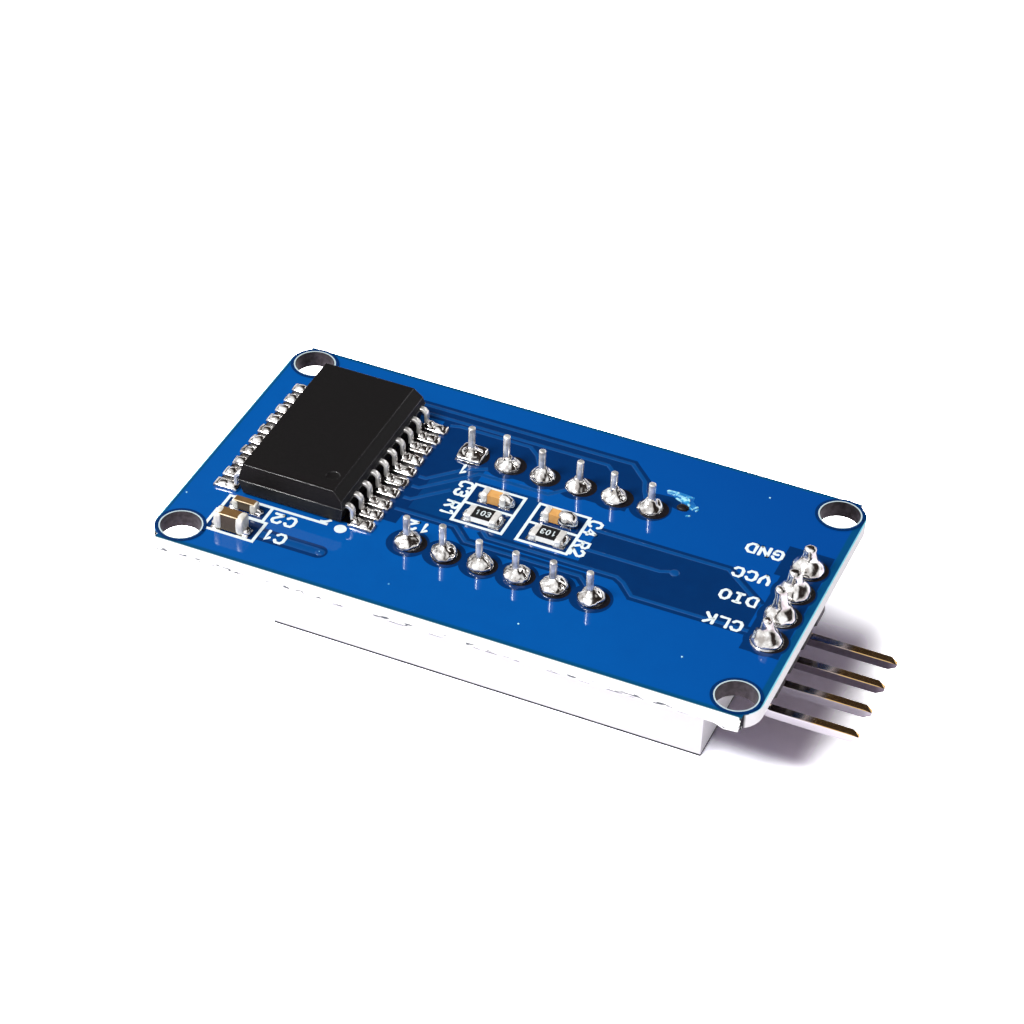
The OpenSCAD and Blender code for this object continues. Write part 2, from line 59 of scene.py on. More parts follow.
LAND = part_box("copper_lands")[1].z
print("nodes:", len(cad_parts), "board top at", round(TOP / MM, 3), "mm")

# %% [markdown]
# ## The camera
#
# A camera is matched to the photograph by finding the turn, tilt and distance at which the
# corners of the board fall where they do in the picture. The result is kept as plain values:
# two angles round the object, a small roll, the distance, how far the aim lies beside and above
# the middle of the board, and the lens. The camera's axes are then built from the angles,
# because three perpendicular vectors are easier to check than a chain of rotations.

# %% Camera
VIEW_AZIMUTH = 21.936
VIEW_ELEVATION = 38.748
VIEW_ROLL = 2.394
VIEW_DISTANCE = 207.181
VIEW_SIDE = 0.0634
VIEW_RISE = -0.5198
LENS = 112.52
SENSOR = 36.0


def camera_axes():
    """The camera's right, up and back directions in the row's frame."""
    a = math.radians(VIEW_AZIMUTH)
    e = math.radians(VIEW_ELEVATION)
    roll = math.radians(VIEW_ROLL)
    back = Vector((math.sin(a) * math.cos(e), -math.cos(a) * math.cos(e), math.sin(e)))
    right = Vector((0, 0, 1)).cross(back).normalized()
    up = back.cross(right)
    turned_right = math.cos(roll) * right + math.sin(roll) * up
    turned_up = math.cos(roll) * up - math.sin(roll) * right
    return turned_right, turned_up, back


right, up, back = camera_axes()
eye = (VIEW_DISTANCE * back - VIEW_SIDE * right - VIEW_RISE * up) * MM + Vector((0, 0, TOP))
bpy.ops.object.camera_add(location=(0, 0, 0))
camera = bpy.context.object
camera.name = "camera"
camera.matrix_world = Matrix.Translation(eye) @ Matrix((right, up, back)).transposed().to_4x4()
camera.data.lens = LENS
camera.data.sensor_width = SENSOR
camera.data.clip_start = 0.01
camera.data.clip_end = 20
bpy.context.scene.camera = camera
print("camera at", [round(v, 4) for v in eye])

# %% [markdown]
# ## Node helpers
#
# Sky, effects and materials are node trees. These helpers keep each tree as short as its
# recipe: feed a socket, do a sum, map a range, mix two colours, split a vector, read noise.

# %% Node helpers
def feed(tree, value, socket):
    """Links a socket to another node's output, or sets its plain value."""
    if isinstance(value, bpy.types.NodeSocket):
        tree.links.new(value, socket)
    elif socket.type == "RGBA":
        socket.default_value = (*value, 1)
    else:
        socket.default_value = value


def maths(tree, operation, *values):
    node = tree.nodes.new("ShaderNodeMath")
    node.operation = operation
    for socket, value in zip(node.inputs, values):
        feed(tree, value, socket)
    return node.outputs[0]


def ramp(tree, value, low, high, out_low=0.0, out_high=1.0, smooth_ends=False):
    """Maps a value from one range to another, with clamped ends."""
    node = tree.nodes.new("ShaderNodeMapRange")
    node.interpolation_type = "SMOOTHSTEP" if smooth_ends else "LINEAR"
    for socket, given in zip(node.inputs, (value, low, high, out_low, out_high)):
        feed(tree, given, socket)
    return node.outputs["Result"]


def mix_colours(tree, factor, first, second):
    """A colour mix. Each end is a colour or the output of another node."""
    mix = tree.nodes.new("ShaderNodeMix")
    mix.data_type = "RGBA"
    for label, value in (("Factor", factor), ("A", first), ("B", second)):
        feed(tree, value, mix.inputs[label])
    return mix.outputs["Result"]


def axes(tree, vector):
    """The X, Y and Z of a vector."""
    split = tree.nodes.new("ShaderNodeSeparateXYZ")
    feed(tree, vector, split.inputs[0])
    return split.outputs[:]


def object_place(tree):
    return tree.nodes.new("ShaderNodeTexCoord").outputs["Object"]


def noise_at(tree, place, grain, detail):
    """Noise with grains of a given size."""
    noise = tree.nodes.new("ShaderNodeTexNoise")
    noise.inputs["Detail"].default_value = detail
    feed(tree, place, noise.inputs["Vector"])
    feed(tree, maths(tree, "DIVIDE", 1.0, grain), noise.inputs["Scale"])
    return noise.outputs["Fac"]

# %% [markdown]
# ## Floor, sky and lamps
#
# The photograph is high-key: a ground that is blown out to white, light from the left and the
# front, and darkness high up behind, which every flat polished face mirrors. So the sky is not
# one grey. It is bright towards the lamp's side and along the horizon, as a sweep of white
# paper would be, and dark elsewhere. Diffuse surfaces average it and stay evenly lit, while
# polished metal shows both halves.

# %% Sky
LIGHT_SIDE = Vector((-0.6, -0.65, 0.45)).normalized()
LAMP_SIDE_BLEND = (0.02, 0.42)
HORIZON_BLEND = (0.34, 0.08)
SKY_DARK = (0.035, 0.026, 0.023)
SKY_BRIGHT = (1.15, 1.15, 1.15)


def make_sky():
    world = bpy.data.worlds.new("studio_sky")
    bpy.context.scene.world = world
    world.use_nodes = True
    tree = world.node_tree
    tree.nodes.clear()
    direction = tree.nodes.new("ShaderNodeTexCoord").outputs["Generated"]
    facing = tree.nodes.new("ShaderNodeVectorMath")
    facing.operation = "DOT_PRODUCT"
    facing.inputs[1].default_value = LIGHT_SIDE
    feed(tree, direction, facing.inputs[0])
    lamp_side = ramp(tree, facing.outputs["Value"], *LAMP_SIDE_BLEND, smooth_ends=True)
    low_down = ramp(tree, axes(tree, direction)[2], *HORIZON_BLEND, smooth_ends=True)
    bright = maths(tree, "MAXIMUM", lamp_side, low_down)
    sky = tree.nodes.new("ShaderNodeBackground")
    output = tree.nodes.new("ShaderNodeOutputWorld")
    feed(tree, mix_colours(tree, bright, SKY_DARK, SKY_BRIGHT), sky.inputs["Color"])
    feed(tree, sky.outputs["Background"], output.inputs["Surface"])
    return world


print("sky:", make_sky().name)

# %% [markdown]
# The key lamp's place was read from the shadow on the ground: the board's corner is 8.4 mm up
# and its shadow lies about 4.5 mm further right and 4.6 mm further back. The weak strip behind is
# there for the bent leads, whose knees mirror it as a bright line.

# %% Lamps
LAMPS = [
    ("key_lamp", (-0.245, -0.25, 0.457), (0.2, 0.2), 5.0),
    ("strip_lamp", (0.16, 0.34, 0.22), (0.34, 0.07), 0.2),
]


def add_lamp(name, place, size, power):
    """A soft rectangular lamp that faces the middle of the board. Its long side lies level."""
    bpy.ops.object.light_add(type="AREA", location=place)
    lamp = bpy.context.object
    lamp.name = name
    lamp.data.shape = "RECTANGLE"
    lamp.data.size, lamp.data.size_y = size
    lamp.data.energy = power
    aim = Vector((0, 0, TOP)) - Vector(place)
    lamp.rotation_euler = aim.to_track_quat("-Z", "Y").to_euler()
    return lamp


for row in LAMPS:
    add_lamp(*row)

bpy.context.scene.view_settings.view_transform = "Standard"
print("lamps:", len(LAMPS))

# %% [markdown]
# ## Shared effects as node groups
#
# Every real surface here is a little uneven: mask has orange peel, mould steel leaves a fine
# grain, solder has cooling ripples. One node group makes that, with its scale and strength as
# inputs, so each material places it with its own values. A second group tells a part's upper
# faces from its sides, which a coated and cut board needs.

# %% Group: uneven surface
def new_group(name, inputs, outputs):
    """A node group. Its inputs are numbers, given with the values that they start from."""
    group = bpy.data.node_groups.new(name, "ShaderNodeTree")
    for label, value in inputs.items():
        socket = group.interface.new_socket(name=label, in_out="INPUT", socket_type="NodeSocketFloat")
        socket.default_value = value
    for label, kind in outputs.items():
        group.interface.new_socket(name=label, in_out="OUTPUT", socket_type=kind)
    start = group.nodes.new("NodeGroupInput")
    end = group.nodes.new("NodeGroupOutput")
    return group, start.outputs, end.inputs


def make_uneven_group():
    """Noise at a given grain size, as a mask and as a slightly bumped normal."""
    group, given, made = new_group(
        "uneven_surface",
        {"Grain Size": 0.5 * MM, "Depth": 0.01 * MM, "Contrast": 1.0},
        {"Mask": "NodeSocketFloat", "Normal": "NodeSocketVector"},
    )
    noise = noise_at(group, object_place(group), given["Grain Size"], 3)
    centred = maths(group, "SUBTRACT", noise, 0.5)
    spread = maths(group, "MULTIPLY_ADD", centred, given["Contrast"], 0.5)
    spread.node.use_clamp = True
    bump = group.nodes.new("ShaderNodeBump")
    bump.inputs["Strength"].default_value = 1.0
    feed(group, given["Depth"], bump.inputs["Distance"])
    feed(group, noise, bump.inputs["Height"])
    feed(group, spread, made["Mask"])
    feed(group, bump.outputs["Normal"], made["Normal"])
    return group


UNEVEN = make_uneven_group()
print("group:", UNEVEN.name)

# %% Group: upper and lower faces
def make_flat_face_group():
    """White on faces that look up or down, black on the sides of a plate."""
    group, given, made = new_group("flat_faces", {"Softness": 0.1}, {"Mask": "NodeSocketFloat"})
    shape = group.nodes.new("ShaderNodeNewGeometry")
    level = maths(group, "ABSOLUTE", axes(group, shape.outputs["Normal"])[2])
    limit = maths(group, "SUBTRACT", 1.0, given["Softness"])
    feed(group, ramp(group, level, limit, 1.0), made["Mask"])
    return group


FLAT_FACES = make_flat_face_group()
print("group:", FLAT_FACES.name)

# %% [markdown]
# ## Materials
#
# Each material starts from one Principled surface, whose plain values such as roughness are
# set on the shader itself, and adds the groups where the surface varies. Colours are linear
# values, which is what the shader works in. Most finishes are rows of a table: two colours,
# roughness, grain and depth in millimetres, and where they differ from 0, 0, 2 and 0.5,
# metallic, coat, contrast and specular level.

# %% Material helpers
FINISH = {}
COAT_ROUGHNESS = 0.04


def new_material(name, colour, roughness, metallic=0, coat=0, specular=0.5):
    """A Principled surface, kept in FINISH by its name. Gives its tree and its sockets."""
    material = bpy.data.materials.new(name)
    material.use_nodes = True
    tree = material.node_tree
    surface = tree.nodes["Principled BSDF"].inputs
    for label, value in (
        ("Base Color", colour), ("Roughness", roughness), ("Metallic", metallic),
        ("Coat Weight", coat), ("Coat Roughness", COAT_ROUGHNESS), ("Specular IOR Level", specular),
    ):
        feed(tree, value, surface[label])
    FINISH[name] = material
    return tree, surface


def add_group(tree, group, *values):
    """Places a node group with its inputs' values, and gives its outputs."""
    node = tree.nodes.new("ShaderNodeGroup")
    node.node_tree = group
    for socket, value in zip(node.inputs, values):
        socket.default_value = value
    return node.outputs[:]


def speckled(name, first, second, roughness, grain, depth, metallic=0, coat=0, contrast=2, specular=0.5):
    """A finish that drifts between two close colours and has a fine bump."""
    tree, surface = new_material(name, first, roughness, metallic, coat, specular)
    mask, normal = add_group(tree, UNEVEN, grain * MM, depth * MM, contrast)
    feed(tree, mix_colours(tree, mask, first, second), surface["Base Color"])
    feed(tree, normal, surface["Normal"])

# %% [markdown]
# ### The ground
#
# The paper in the photograph is blown out to white nearly everywhere, and only beside the header
# does it keep its violet shadow, which a painted shadow tone deepens. The camera sees just that,
# while every other ray sees plain paper. A hairline of painted contact shadow runs round the
# display's foot.

# %% Floor
PAPER = (0.93, 0.86, 0.95)
BLOWN_OUT = (3.2, 3.2, 3.2)
PAINTED_CONTACT_SHADOW = (0.42, 0.39, 0.42)
CONTACT_BLEND = (0.01 * MM, 0.08 * MM)
PAINTED_SHADOW_TONE = (0.46, 0.395, 0.48)
SHADOW_START = [(13.8, 15.4), (-7.3, -4.4)]
SHADOW_END = [(25.4, 21.5), (13, 7)]


def past_limits(tree, axis, low, high):
    """How far a place lies outside two limits, and 0 between them."""
    before = maths(tree, "SUBTRACT", low, axis)
    after = maths(tree, "SUBTRACT", axis, high)
    return maths(tree, "MAXIMUM", maths(tree, "MAXIMUM", before, after), 0.0)


def make_floor():
    bpy.ops.mesh.primitive_plane_add(size=6, location=(0, 0, 0))
    floor = bpy.context.object
    floor.name = "floor"
    tree = new_material("floor_white", PAPER, 0.9)[0]
    foot_low, foot_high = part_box("display_shell")
    x, y = axes(tree, object_place(tree))[:2]
    past_x = past_limits(tree, x, foot_low.x, foot_high.x)
    past_y = past_limits(tree, y, foot_low.y, foot_high.y)
    clear_of_foot = ramp(tree, maths(tree, "ADD", past_x, past_y), *CONTACT_BLEND)
    inside = 1.0
    for axis, (low, high) in zip((x, y, x, y), SHADOW_START + SHADOW_END):
        fade = ramp(tree, axis, low * MM, high * MM, smooth_ends=True)
        inside = maths(tree, "MULTIPLY", fade, inside)
    # Painted shadow: beside the header, the camera sees the paper darkened to a violet tone.
    shaded = mix_colours(tree, inside, BLOWN_OUT, PAINTED_SHADOW_TONE)
    # Painted contact shadow: a dark hairline round the display's foot.
    seen = mix_colours(tree, clear_of_foot, PAINTED_CONTACT_SHADOW, shaded)
    rays = tree.nodes.new("ShaderNodeLightPath")
    paper = tree.nodes.new("ShaderNodeBsdfDiffuse")
    feed(tree, mix_colours(tree, rays.outputs["Is Camera Ray"], PAPER, seen), paper.inputs["Color"])
    feed(tree, paper.outputs["BSDF"], tree.nodes["Material Output"].inputs["Surface"])
    floor.data.materials.append(FINISH["floor_white"])
    return floor


print("floor:", make_floor().name)

# %% [markdown]
# ### The board
#
# The board is glass fibre with copper and a blue mask on both faces. The copper pour stops a
# little short of the outline, so a darker line runs round the edge. The cut sides are bare
# fibre, almost white, and the mask wraps over their upper rim as a cyan line. The scored and
# snapped long edges have small dark specks low down, and two corners are cracked. Towards the
# far corner, the blue is darkened by painted shade.

# %% Board colours and margins
BLUE_POUR = (0.0008, 0.058, 0.235)
BLUE_POUR_DEEP = (0.0008, 0.052, 0.216)
BLUE_FAR_PAINTED_SHADE = (0.0008, 0.041, 0.196)
BLUE_RIM = (0.001, 0.045, 0.13)
RIM_LONG_SIDE = (0.001, 0.035, 0.075)
RIM_END = (0.16, 0.42, 0.5)
WRAP_LONG_SIDE = (0.008, 0.06, 0.1)
WRAP_END = (0.3, 0.6, 0.68)
FIBRE = (0.82, 0.83, 0.82)
FIBRE_DEEP = (0.74, 0.76, 0.75)
CRACK_DARK = (0.03, 0.03, 0.035)
LOW_SPECK_DARK = (0.09, 0.1, 0.11)
MASK_GLOSS = 0.65
BOARD_HALF_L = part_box("circuit_board")[1].x
BOARD_HALF_W = 11.4 * MM
POUR_MARGIN = 0.24 * MM
HEADER_END_MARGIN = 0.52 * MM
EDGE_LINE = 0.07 * MM
FAR_SHADE_BLEND = (-2 * MM, 26 * MM)
POUR_BLEND = (-0.08 * MM, 0.04 * MM)
LINE_BLEND = (-0.02 * MM, 0.02 * MM)
MASK_END_BLEND = (0.04 * MM, 0.06 * MM)
LOWER_MASK_BLEND = (1.02 * MM, 1.0 * MM)
WRAP_BLEND = (0.03 * MM, 0.1 * MM)
TORN_BLEND = (0.005 * MM, 0.02 * MM)
LOW_SPECKS_FROM = (0.5 * MM, 0.58 * MM)
LOW_SPECK_STRETCH = (0.5, 1, 1.6)
CRACKS = [(20.08, -11.5, 0.13, 0.4), (-20.5, -10.8, 0.4, 0.7)]
CRACK_SHIFT = 0.2 * MM
MASKS = {
    "mask_over_fibre": ((0.0008, 0.0193, 0.085), (0.0008, 0.017, 0.076), 0.5, 1.2, 0.002),
    "mask_in_shade": ((0.0008, 0.03, 0.12), (0.0008, 0.026, 0.108), 0.5, 1.2, 0.002),
    "mask_over_track": ((0.002, 0.045, 0.168), (0.0015, 0.04, 0.152), 0.5, 0.6, 0.003),
}

# %% Board material
def past_line(tree, past, margin, blend):
    """Fades in over a line that runs a margin inside the outline."""
    return ramp(tree, past, blend[0] - margin, blend[1] - margin)


def mix_cracks(tree, fibre, x, y):
    """Jagged cracks down the cut side: their place, half width and reach along the board, in mm."""
    noise = noise_at(tree, object_place(tree), 0.35 * MM, 3)
    jagged_x = maths(tree, "ADD", x, ramp(tree, noise, 0.3, 0.7, -CRACK_SHIFT, CRACK_SHIFT))
    for crack_x, crack_y, half_width, reach in CRACKS:
        fades = []
        for axis, middle, limit, blur in ((jagged_x, crack_x, half_width, 0.04), (y, crack_y, reach, 0.1)):
            off = maths(tree, "ABSOLUTE", maths(tree, "SUBTRACT", axis, middle * MM))
            fades.append(ramp(tree, off, (limit + blur) * MM, limit * MM))
        fibre = mix_colours(tree, maths(tree, "MULTIPLY", *fades), fibre, CRACK_DARK)
    return fibre


def mix_low_specks(tree, fibre, y, under_top):
    """Small dark specks, long along the edge, low on the snapped sides of the board."""
    stretch = tree.nodes.new("ShaderNodeVectorMath")
    stretch.operation = "MULTIPLY"
    stretch.inputs[1].default_value = LOW_SPECK_STRETCH
    feed(tree, object_place(tree), stretch.inputs[0])
    dark = ramp(tree, noise_at(tree, stretch.outputs["Vector"], 0.45 * MM, 2), 0.55, 0.61)
    low_down = maths(tree, "MULTIPLY", dark, ramp(tree, under_top, *LOW_SPECKS_FROM))
    side = ramp(tree, maths(tree, "ABSOLUTE", y), BOARD_HALF_W - 0.05 * MM, BOARD_HALF_W)
    return mix_colours(tree, maths(tree, "MULTIPLY", low_down, side), fibre, LOW_SPECK_DARK)


def make_board_material():
    tree, surface = new_material("mask_blue", BLUE_POUR, 0.5, coat=MASK_GLOSS, specular=0)
    x, y, z = axes(tree, object_place(tree))
    uneven = add_group(tree, UNEVEN, 1.6 * MM, 0.004 * MM, 1.2)[0]
    orange_peel = add_group(tree, UNEVEN, 0.3 * MM, 0.0012 * MM, 1.0)[1]
    flat = add_group(tree, FLAT_FACES, 0.08)[0]
    past_end = maths(tree, "SUBTRACT", maths(tree, "ABSOLUTE", x), BOARD_HALF_L)
    past_side = maths(tree, "SUBTRACT", maths(tree, "ABSOLUTE", y), BOARD_HALF_W)
    past_header_end = maths(tree, "SUBTRACT", x, BOARD_HALF_L)
    past = maths(tree, "MAXIMUM", past_end, past_side)
    at_end = maths(tree, "GREATER_THAN", past_end, past_side)
    under_top = maths(tree, "SUBTRACT", TOP, z)

    tone = mix_colours(tree, uneven, BLUE_POUR, BLUE_POUR_DEEP)
    # Painted shade: the blue darkens towards the board's far corner.
    tone = mix_colours(tree, ramp(tree, maths(tree, "ADD", x, y), *FAR_SHADE_BLEND), tone, BLUE_FAR_PAINTED_SHADE)
    rim = past_line(tree, past, POUR_MARGIN, POUR_BLEND)
    header_rim = past_line(tree, past_header_end, HEADER_END_MARGIN, POUR_BLEND)
    masked = mix_colours(tree, maths(tree, "MAXIMUM", rim, header_rim), tone, BLUE_RIM)
    line_tone = mix_colours(tree, at_end, RIM_LONG_SIDE, RIM_END)
    masked = mix_colours(tree, past_line(tree, past, EDGE_LINE, LINE_BLEND), masked, line_tone)
    upper_end = ramp(tree, under_top, *MASK_END_BLEND)
    web = maths(tree, "MULTIPLY", upper_end, ramp(tree, under_top, *LOWER_MASK_BLEND))
    torn = maths(tree, "MAXIMUM", ramp(tree, past_side, *TORN_BLEND), web)
    flat_tone = mix_colours(tree, torn, masked, FIBRE)

    fibre = mix_colours(tree, uneven, FIBRE, FIBRE_DEEP)
    cracked_and_specked = mix_cracks(tree, mix_low_specks(tree, fibre, y, under_top), x, y)
    wrap_tone = mix_colours(tree, at_end, WRAP_LONG_SIDE, WRAP_END)
    side = mix_colours(tree, ramp(tree, under_top, *WRAP_BLEND), wrap_tone, cracked_and_specked)

    covered = maths(tree, "MULTIPLY", flat, maths(tree, "SUBTRACT", 1.0, torn))
    feed(tree, mix_colours(tree, flat, side, flat_tone), surface["Base Color"])
    feed(tree, orange_peel, surface["Normal"])
    feed(tree, ramp(tree, flat, 0, 1, 0.8, 0.5), surface["Roughness"])
    feed(tree, maths(tree, "MULTIPLY", covered, MASK_GLOSS), surface["Coat Weight"])


make_board_material()
for name, row in MASKS.items():
    speckled(name, *row, coat=MASK_GLOSS, specular=0)
print("board materials: mask_blue,", ", ".join(MASKS))

# %% [markdown]
# ### Metals
#
# Solder, tinned copper, plated wire and the caps of the small parts are all silvery, but not
# the same. Fresh solder is nearly a mirror with soft ripples. Wire is drawn, so it is brighter
# and plainer. The caps are dull tin that scatters light. The header's pins have a brown tint
# on top that turns to gold near their tips, and painted reflection on their sides, dark or light
# as the ground beside each pin. The dark walls inside the holes are painted shade.

# %% Metal materials
METALS = {
    "solder_bright": ((0.96, 0.95, 0.94), (0.42, 0.39, 0.37), 0.13, 0.5, 0.018, 1, 0, 3.5),
    "tinned_copper": ((0.9, 0.9, 0.9), (0.78, 0.78, 0.8), 0.24, 0.4, 0.008, 1),
    "tinned_wire": ((0.97, 0.96, 0.94), (0.42, 0.4, 0.38), 0.2, 0.5, 0.006, 0.7, 0, 3),
    "lead_metal": ((0.97, 0.96, 0.94), (0.6, 0.58, 0.56), 0.24, 0.4, 0.006, 0.7, 0, 3),
    "cap_metal": ((0.93, 0.92, 0.9), (0.66, 0.64, 0.61), 0.24, 0.4, 0.012, 0.5),
    "cap_cream": ((0.72, 0.7, 0.64), (0.5, 0.48, 0.43), 0.34, 0.5, 0.01, 0.3),
}
PIN_SIDES_PAINTED_REFLECTION = [(0.15, 0.13, 0.155), (0.17, 0.145, 0.17), (0.42, 0.4, 0.43), (0.8, 0.79, 0.8)]
PIN_GOLD = ((0.9, 0.62, 0.3), (0.75, 0.5, 0.22))
PIN_BROWN = ((0.55, 0.46, 0.42), (0.4, 0.32, 0.3))
GOLD_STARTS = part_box("header_pin_1")[1].x - 3.2 * MM
GOLD_IS_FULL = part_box("header_pin_1")[1].x - 2.9 * MM
UPPER_FACE_BLEND = (0.3, 0.6)
HOLE_WALL_PAINTED_SHADE = ((0.018, 0.014, 0.016), (0.042, 0.035, 0.04))
HOLE_RING = (0.34, 0.42, 0.44)


def make_header_metal(name, side):
    """Brown on top, gold near the tip. The sides carry painted reflection, dark or light as the ground beside
    each pin, so each has its own.
    """
    tree, surface = new_material(name, side, 0.16, 1)
    shape = tree.nodes.new("ShaderNodeNewGeometry")
    upper = ramp(tree, axes(tree, shape.outputs["Normal"])[2], *UPPER_FACE_BLEND)
    near_tip = ramp(tree, axes(tree, object_place(tree))[0], GOLD_STARTS, GOLD_IS_FULL)
    mask, normal = add_group(tree, UNEVEN, 0.9 * MM, 0.004 * MM, 3)
    brown = mix_colours(tree, mask, *PIN_BROWN)
    top = mix_colours(tree, near_tip, brown, mix_colours(tree, mask, *PIN_GOLD))
    feed(tree, mix_colours(tree, upper, side, top), surface["Base Color"])
    feed(tree, normal, surface["Normal"])


def make_hole_metal():
    """A pale ring on the board's faces and an uneven wall, darkened with painted shade."""
    tree, surface = new_material("hole_metal", HOLE_RING, 0.45, 0.5)
    flat = add_group(tree, FLAT_FACES, 0.4)[0]
    mask, normal = add_group(tree, UNEVEN, 0.4 * MM, 0.01 * MM, 4)
    # Painted shade: the wall inside each hole is nearly black.
    wall = mix_colours(tree, mask, *HOLE_WALL_PAINTED_SHADE)
    feed(tree, mix_colours(tree, flat, wall, HOLE_RING), surface["Base Color"])
    feed(tree, ramp(tree, flat, 0, 1, 0.6, 0.0), surface["Metallic"])
    feed(tree, normal, surface["Normal"])


for name, row in METALS.items():
    speckled(name, *row)
# Painted reflection: the sides of the first two pins are dark, as over shadow, and those of the last two are
# light, as over white ground.
for number, side in enumerate(PIN_SIDES_PAINTED_REFLECTION, 1):
    make_header_metal(f"header_metal_{number}", side)
make_hole_metal()
print("metals:", ", ".join(METALS), "and those of the header and holes")

# %% [markdown]
# ### Plastics, ceramics and ink
#
# The chip is black moulding compound with a fine matt grain. The display's shell is satin
# white. The capacitors are fired ceramic, brown or tan, and the resistors are white ceramic
# with a black glaze. The brown capacitors' upright faces are darker by painted shade, and their
# bevelled edges are cream as a painted highlight. The board's ink is matt white.

# %% Plastic, ceramic and ink materials
PLASTICS = {
    "chip_black": ((0.0028, 0.0023, 0.0024), (0.0042, 0.0035, 0.0037), 0.42, 0.12, 0.003, 0, 0, 2, 0.14),
    "chip_edge": ((0.006, 0.006, 0.007), (0.01, 0.01, 0.011), 0.2, 0.2, 0.002, 0, 0, 2, 1),
    "housing_black": ((0.006, 0.006, 0.007), (0.009, 0.009, 0.01), 0.4, 0.3, 0.006),
    "shell_white": ((0.84, 0.84, 0.84), (0.81, 0.81, 0.81), 0.42, 0.5, 0.002),
    "face_black": ((0.009, 0.009, 0.011), (0.014, 0.014, 0.017), 0.5, 0.2, 0.002),
    "ceramic_brown": ((0.12, 0.062, 0.015), (0.075, 0.038, 0.011), 0.4, 0.4, 0.004),
    # Painted highlight: cream bevels stand in for light along the brown capacitors' edges.
    "ceramic_edge": ((0.75, 0.62, 0.42), (0.6, 0.46, 0.28), 0.4, 0.3, 0.002),
    "ceramic_tan": ((0.5, 0.27, 0.085), (0.42, 0.2, 0.055), 0.4, 0.4, 0.004),
    "ceramic_white": ((0.78, 0.78, 0.76), (0.66, 0.66, 0.64), 0.5, 0.3, 0.002),
    "glaze_black": ((0.005, 0.0048, 0.005), (0.008, 0.0078, 0.008), 0.3, 0.2, 0.002),
    "ink_white": ((0.52, 0.57, 0.58), (0.45, 0.51, 0.53), 0.6, 0.2, 0.004),
    "carrier_laminate": ((0.16, 0.19, 0.1), (0.13, 0.155, 0.08), 0.5, 0.4, 0.003),
    "light_chip": ((0.85, 0.62, 0.3), (0.7, 0.5, 0.24), 0.3, 0.1, 0.002, 1),
    # Painted shadow beside the joints and feet, and one real dark drop of flux.
    "flux_drop_and_painted_shadow": ((0.0018, 0.0022, 0.005), (0.006, 0.0035, 0.0035), 0.4, 0.3, 0.006, 0, 0, 2, 0.15),
    "flux_film": ((0.002, 0.07, 0.26), (0.008, 0.15, 0.38), 0.3, 0.5, 0.02, 0, 0.8, 3),
    "flux_glass": ((0.01, 0.2, 0.42), (0.3, 0.6, 0.66), 0.2, 0.35, 0.02, 0, 1, 5),
}
BROWN_SIDE_PAINTED_SHADE = (0.05, 0.034, 0.018)
RESIN_TONES = ((0.5395, 0.552, 0.5149), (0.4564, 0.4678, 0.4233))


def paint_shade_on_sides(material, side):
    """Paints shade on the upright faces of a finished material, as a darker colour of their own."""
    tree = material.node_tree
    colour = tree.nodes["Principled BSDF"].inputs["Base Color"]
    top = colour.links[0].from_socket
    feed(tree, mix_colours(tree, add_group(tree, FLAT_FACES, 0.2)[0], side, top), colour)


def make_resin():
    tree, surface = new_material("resin_milky", RESIN_TONES[0], 0.22, coat=0.6)
    mask = add_group(tree, UNEVEN, 0.8 * MM, 0.004 * MM, 1.5)[0]
    feed(tree, mix_colours(tree, mask, *RESIN_TONES), surface["Base Color"])
    surface["Subsurface Weight"].default_value = 0.3
    surface["Subsurface Scale"].default_value = 0.6 * MM
    surface["Subsurface Radius"].default_value = (1.0, 1.0, 0.9)


for name, row in PLASTICS.items():
    speckled(name, *row)
# Painted shade: the brown capacitors' upright faces are darker than their tops.
paint_shade_on_sides(FINISH["ceramic_brown"], BROWN_SIDE_PAINTED_SHADE)
make_resin()
print("materials:", len(FINISH))

# %% Give the CAD nodes their finish
NODE_FINISH = {
    "circuit_board": "mask_blue", "hole_plating": "hole_metal", "copper_lands": "tinned_copper",
    "board_print": "ink_white", "display_shell": "shell_white", "display_face": "face_black",
    "segment_resin": "resin_milky", "light_carrier": "carrier_laminate", "light_chips": "light_chip",
    "c3_ceramic": "ceramic_tan", "c4_ceramic": "ceramic_tan", "r1_ceramic": "ceramic_white",
    "r2_ceramic": "ceramic_white", "r1_glaze": "glaze_black", "r2_glaze": "glaze_black",
}
for node, name in NODE_FINISH.items():
    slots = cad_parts[node].data.materials
    slots.clear()
    slots.append(FINISH[name])
print("nodes that stay as they are:", len(NODE_FINISH))

# %% [markdown]
# ## Working by hand, in code
#
# Modelling below uses the operators that a person would use: add a primitive, go into edit
# mode, extrude, scale, bevel. Operators act on whatever is selected, so each helper selects
# one object and nothing else before it starts. A finished piece has its place baked into its
# mesh and rides on the board.

# %% Selection helpers
def only(piece):
    """Selects one object and nothing else, and makes it active."""
    bpy.ops.object.select_all(action="DESELECT")
    piece.select_set(True)
    bpy.context.view_layer.objects.active = piece
    return piece


def copy_of(piece, name):
    twin = bpy.data.objects.new(name, piece.data.copy())
    bpy.context.scene.collection.objects.link(twin)
    return twin


def bake_place(piece):
    """Moves the object's place, turn and size into its mesh."""
    only(piece)
    bpy.ops.object.transform_apply(location=True, rotation=True, scale=True)
    return piece


def finish_piece(piece, name, material, slot, *nodes):
    """Names a piece, gives it a finish by name and sets it on the board's body."""
    bake_place(piece)
    piece.name = name
    piece.data.materials.clear()
    piece.data.materials.append(FINISH[material])
    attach(piece, "root")
    if nodes:
        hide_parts(*nodes)
    return piece


def join(pieces):
    bpy.ops.object.select_all(action="DESELECT")
    for piece in pieces:
        piece.select_set(True)
    bpy.context.view_layer.objects.active = pieces[0]
    bpy.ops.object.join()
    return bpy.context.object


